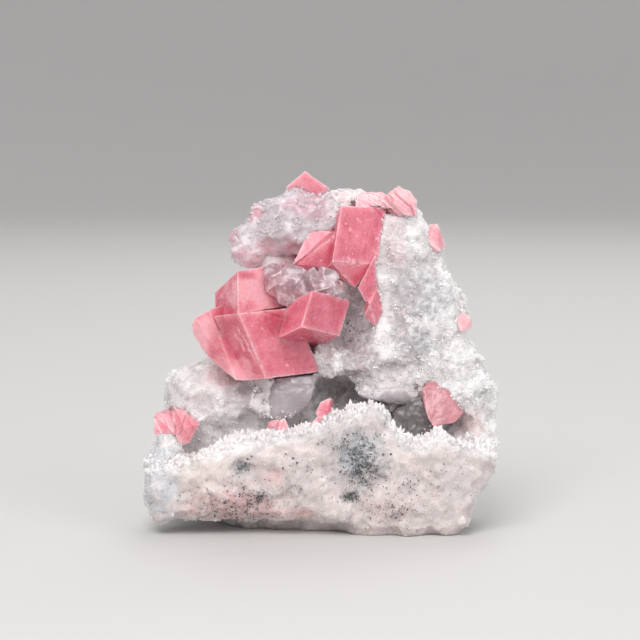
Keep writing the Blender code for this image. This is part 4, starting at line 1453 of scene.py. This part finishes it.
def add_light(name, where, aim, size, power, colour):
    """A square soft light."""
    data = bpy.data.lights.new(name, "AREA")
    data.size = size
    data.energy = power
    data.color = colour
    light = bpy.data.objects.new(name, data)
    light.location = where
    light.rotation_euler = (Vector(aim) - Vector(where)).to_track_quat("-Z", "Y").to_euler()
    bpy.context.scene.collection.objects.link(light)


def bowl():
    """A floor that sweeps up all round into a plain wall."""
    bm = bmesh.new()
    outline = [(0.0, 0.0), (BOWL_FLAT, 0.0)]
    for step in range(1, BOWL_STEPS + 1):
        angle = math.radians(90.0 * step / BOWL_STEPS)
        outline.append((BOWL_FLAT + BOWL_BEND * math.sin(angle), BOWL_BEND * (1.0 - math.cos(angle))))
    outline.append((BOWL_FLAT + BOWL_BEND, BOWL_HEIGHT))
    verts = [bm.verts.new((x, 0.0, z)) for x, z in outline]
    edges = [bm.edges.new(pair) for pair in zip(verts, verts[1:])]
    bmesh.ops.spin(
        bm, geom=verts + edges, cent=(0.0, 0.0, 0.0), axis=(0.0, 0.0, 1.0), steps=72,
        angle=math.tau, use_merge=True)
    bmesh.ops.remove_doubles(bm, verts=bm.verts, dist=0.0001)
    bmesh.ops.recalc_face_normals(bm, faces=bm.faces)
    bmesh.ops.reverse_faces(bm, faces=bm.faces)
    return bm


class SPECIMEN_OT_stage(bpy.types.Operator):
    """Set up the floor, the soft light and the camera"""

    bl_idname = "specimen.stage"
    bl_label = "Stage"

    def execute(self, context):
        look = context.scene.specimen_stage
        floor = bpy.data.objects.new("floor", to_mesh("floor", bowl(), 180.0))
        context.scene.collection.objects.link(floor)
        floor.data.materials.append(floor_finish("floor", look.floor))
        for name, lamp in LAMPS.items():
            add_light(name, *lamp)
        world = bpy.data.worlds.new("studio")
        world.use_nodes = True
        sky = world.node_tree.nodes["Background"]
        sky.inputs["Color"].default_value = SKY_COLOUR
        sky.inputs["Strength"].default_value = SKY_STRENGTH
        context.scene.world = world
        data = bpy.data.cameras.new("camera")
        data.lens = look.lens
        data.sensor_width = SENSOR_WIDTH
        data.clip_start = NEAREST
        camera = bpy.data.objects.new("camera", data)
        target = Vector(CAMERA_TARGET)
        back = Vector((0.0, -math.cos(look.elevation), math.sin(look.elevation)))
        camera.location = target + back * look.distance
        camera.rotation_euler = (-back).to_track_quat("-Z", "Y").to_euler()
        context.scene.collection.objects.link(camera)
        context.scene.camera = camera
        context.scene.view_settings.view_transform = "Standard"
        return {"FINISHED"}


class SPECIMEN_PT_panel(bpy.types.Panel):
    """Lists the pieces of the specimen"""

    bl_idname = "SPECIMEN_PT_panel"
    bl_label = "Specimen"
    bl_space_type = "VIEW_3D"
    bl_region_type = "UI"
    bl_category = "Specimen"

    def draw(self, context):
        for group in ("specimen_quartz", "specimen_pink", "specimen_stage"):
            box = self.layout.box()
            settings = getattr(context.scene, group)
            for name in settings.bl_rna.properties.keys():
                if name not in ("rna_type", "name"):
                    box.prop(settings, name)
        for operator in OPERATORS:
            self.layout.operator(operator.bl_idname)


OPERATORS = (
    SPECIMEN_OT_skin, SPECIMEN_OT_druse, SPECIMEN_OT_teeth, SPECIMEN_OT_lobes,
    SPECIMEN_OT_clear, SPECIMEN_OT_pink, SPECIMEN_OT_grey, SPECIMEN_OT_frost,
    SPECIMEN_OT_grains, SPECIMEN_OT_stage,
)
GROUPS = {
    "specimen_quartz": QuartzSettings,
    "specimen_pink": PinkSettings,
    "specimen_stage": StageSettings,
}


def register():
    for cls in (*GROUPS.values(), *OPERATORS, SPECIMEN_PT_panel):
        bpy.utils.register_class(cls)
    for name, cls in GROUPS.items():
        setattr(bpy.types.Scene, name, PointerProperty(type=cls))


def unregister():
    for name in GROUPS:
        delattr(bpy.types.Scene, name)
    for cls in (SPECIMEN_PT_panel, *reversed(OPERATORS), *GROUPS.values()):
        bpy.utils.unregister_class(cls)


def main():
    register()
    for operator in OPERATORS:
        group, action = operator.bl_idname.split(".")
        getattr(getattr(bpy.ops, group), action)()


if __name__ == "__main__":
    main()
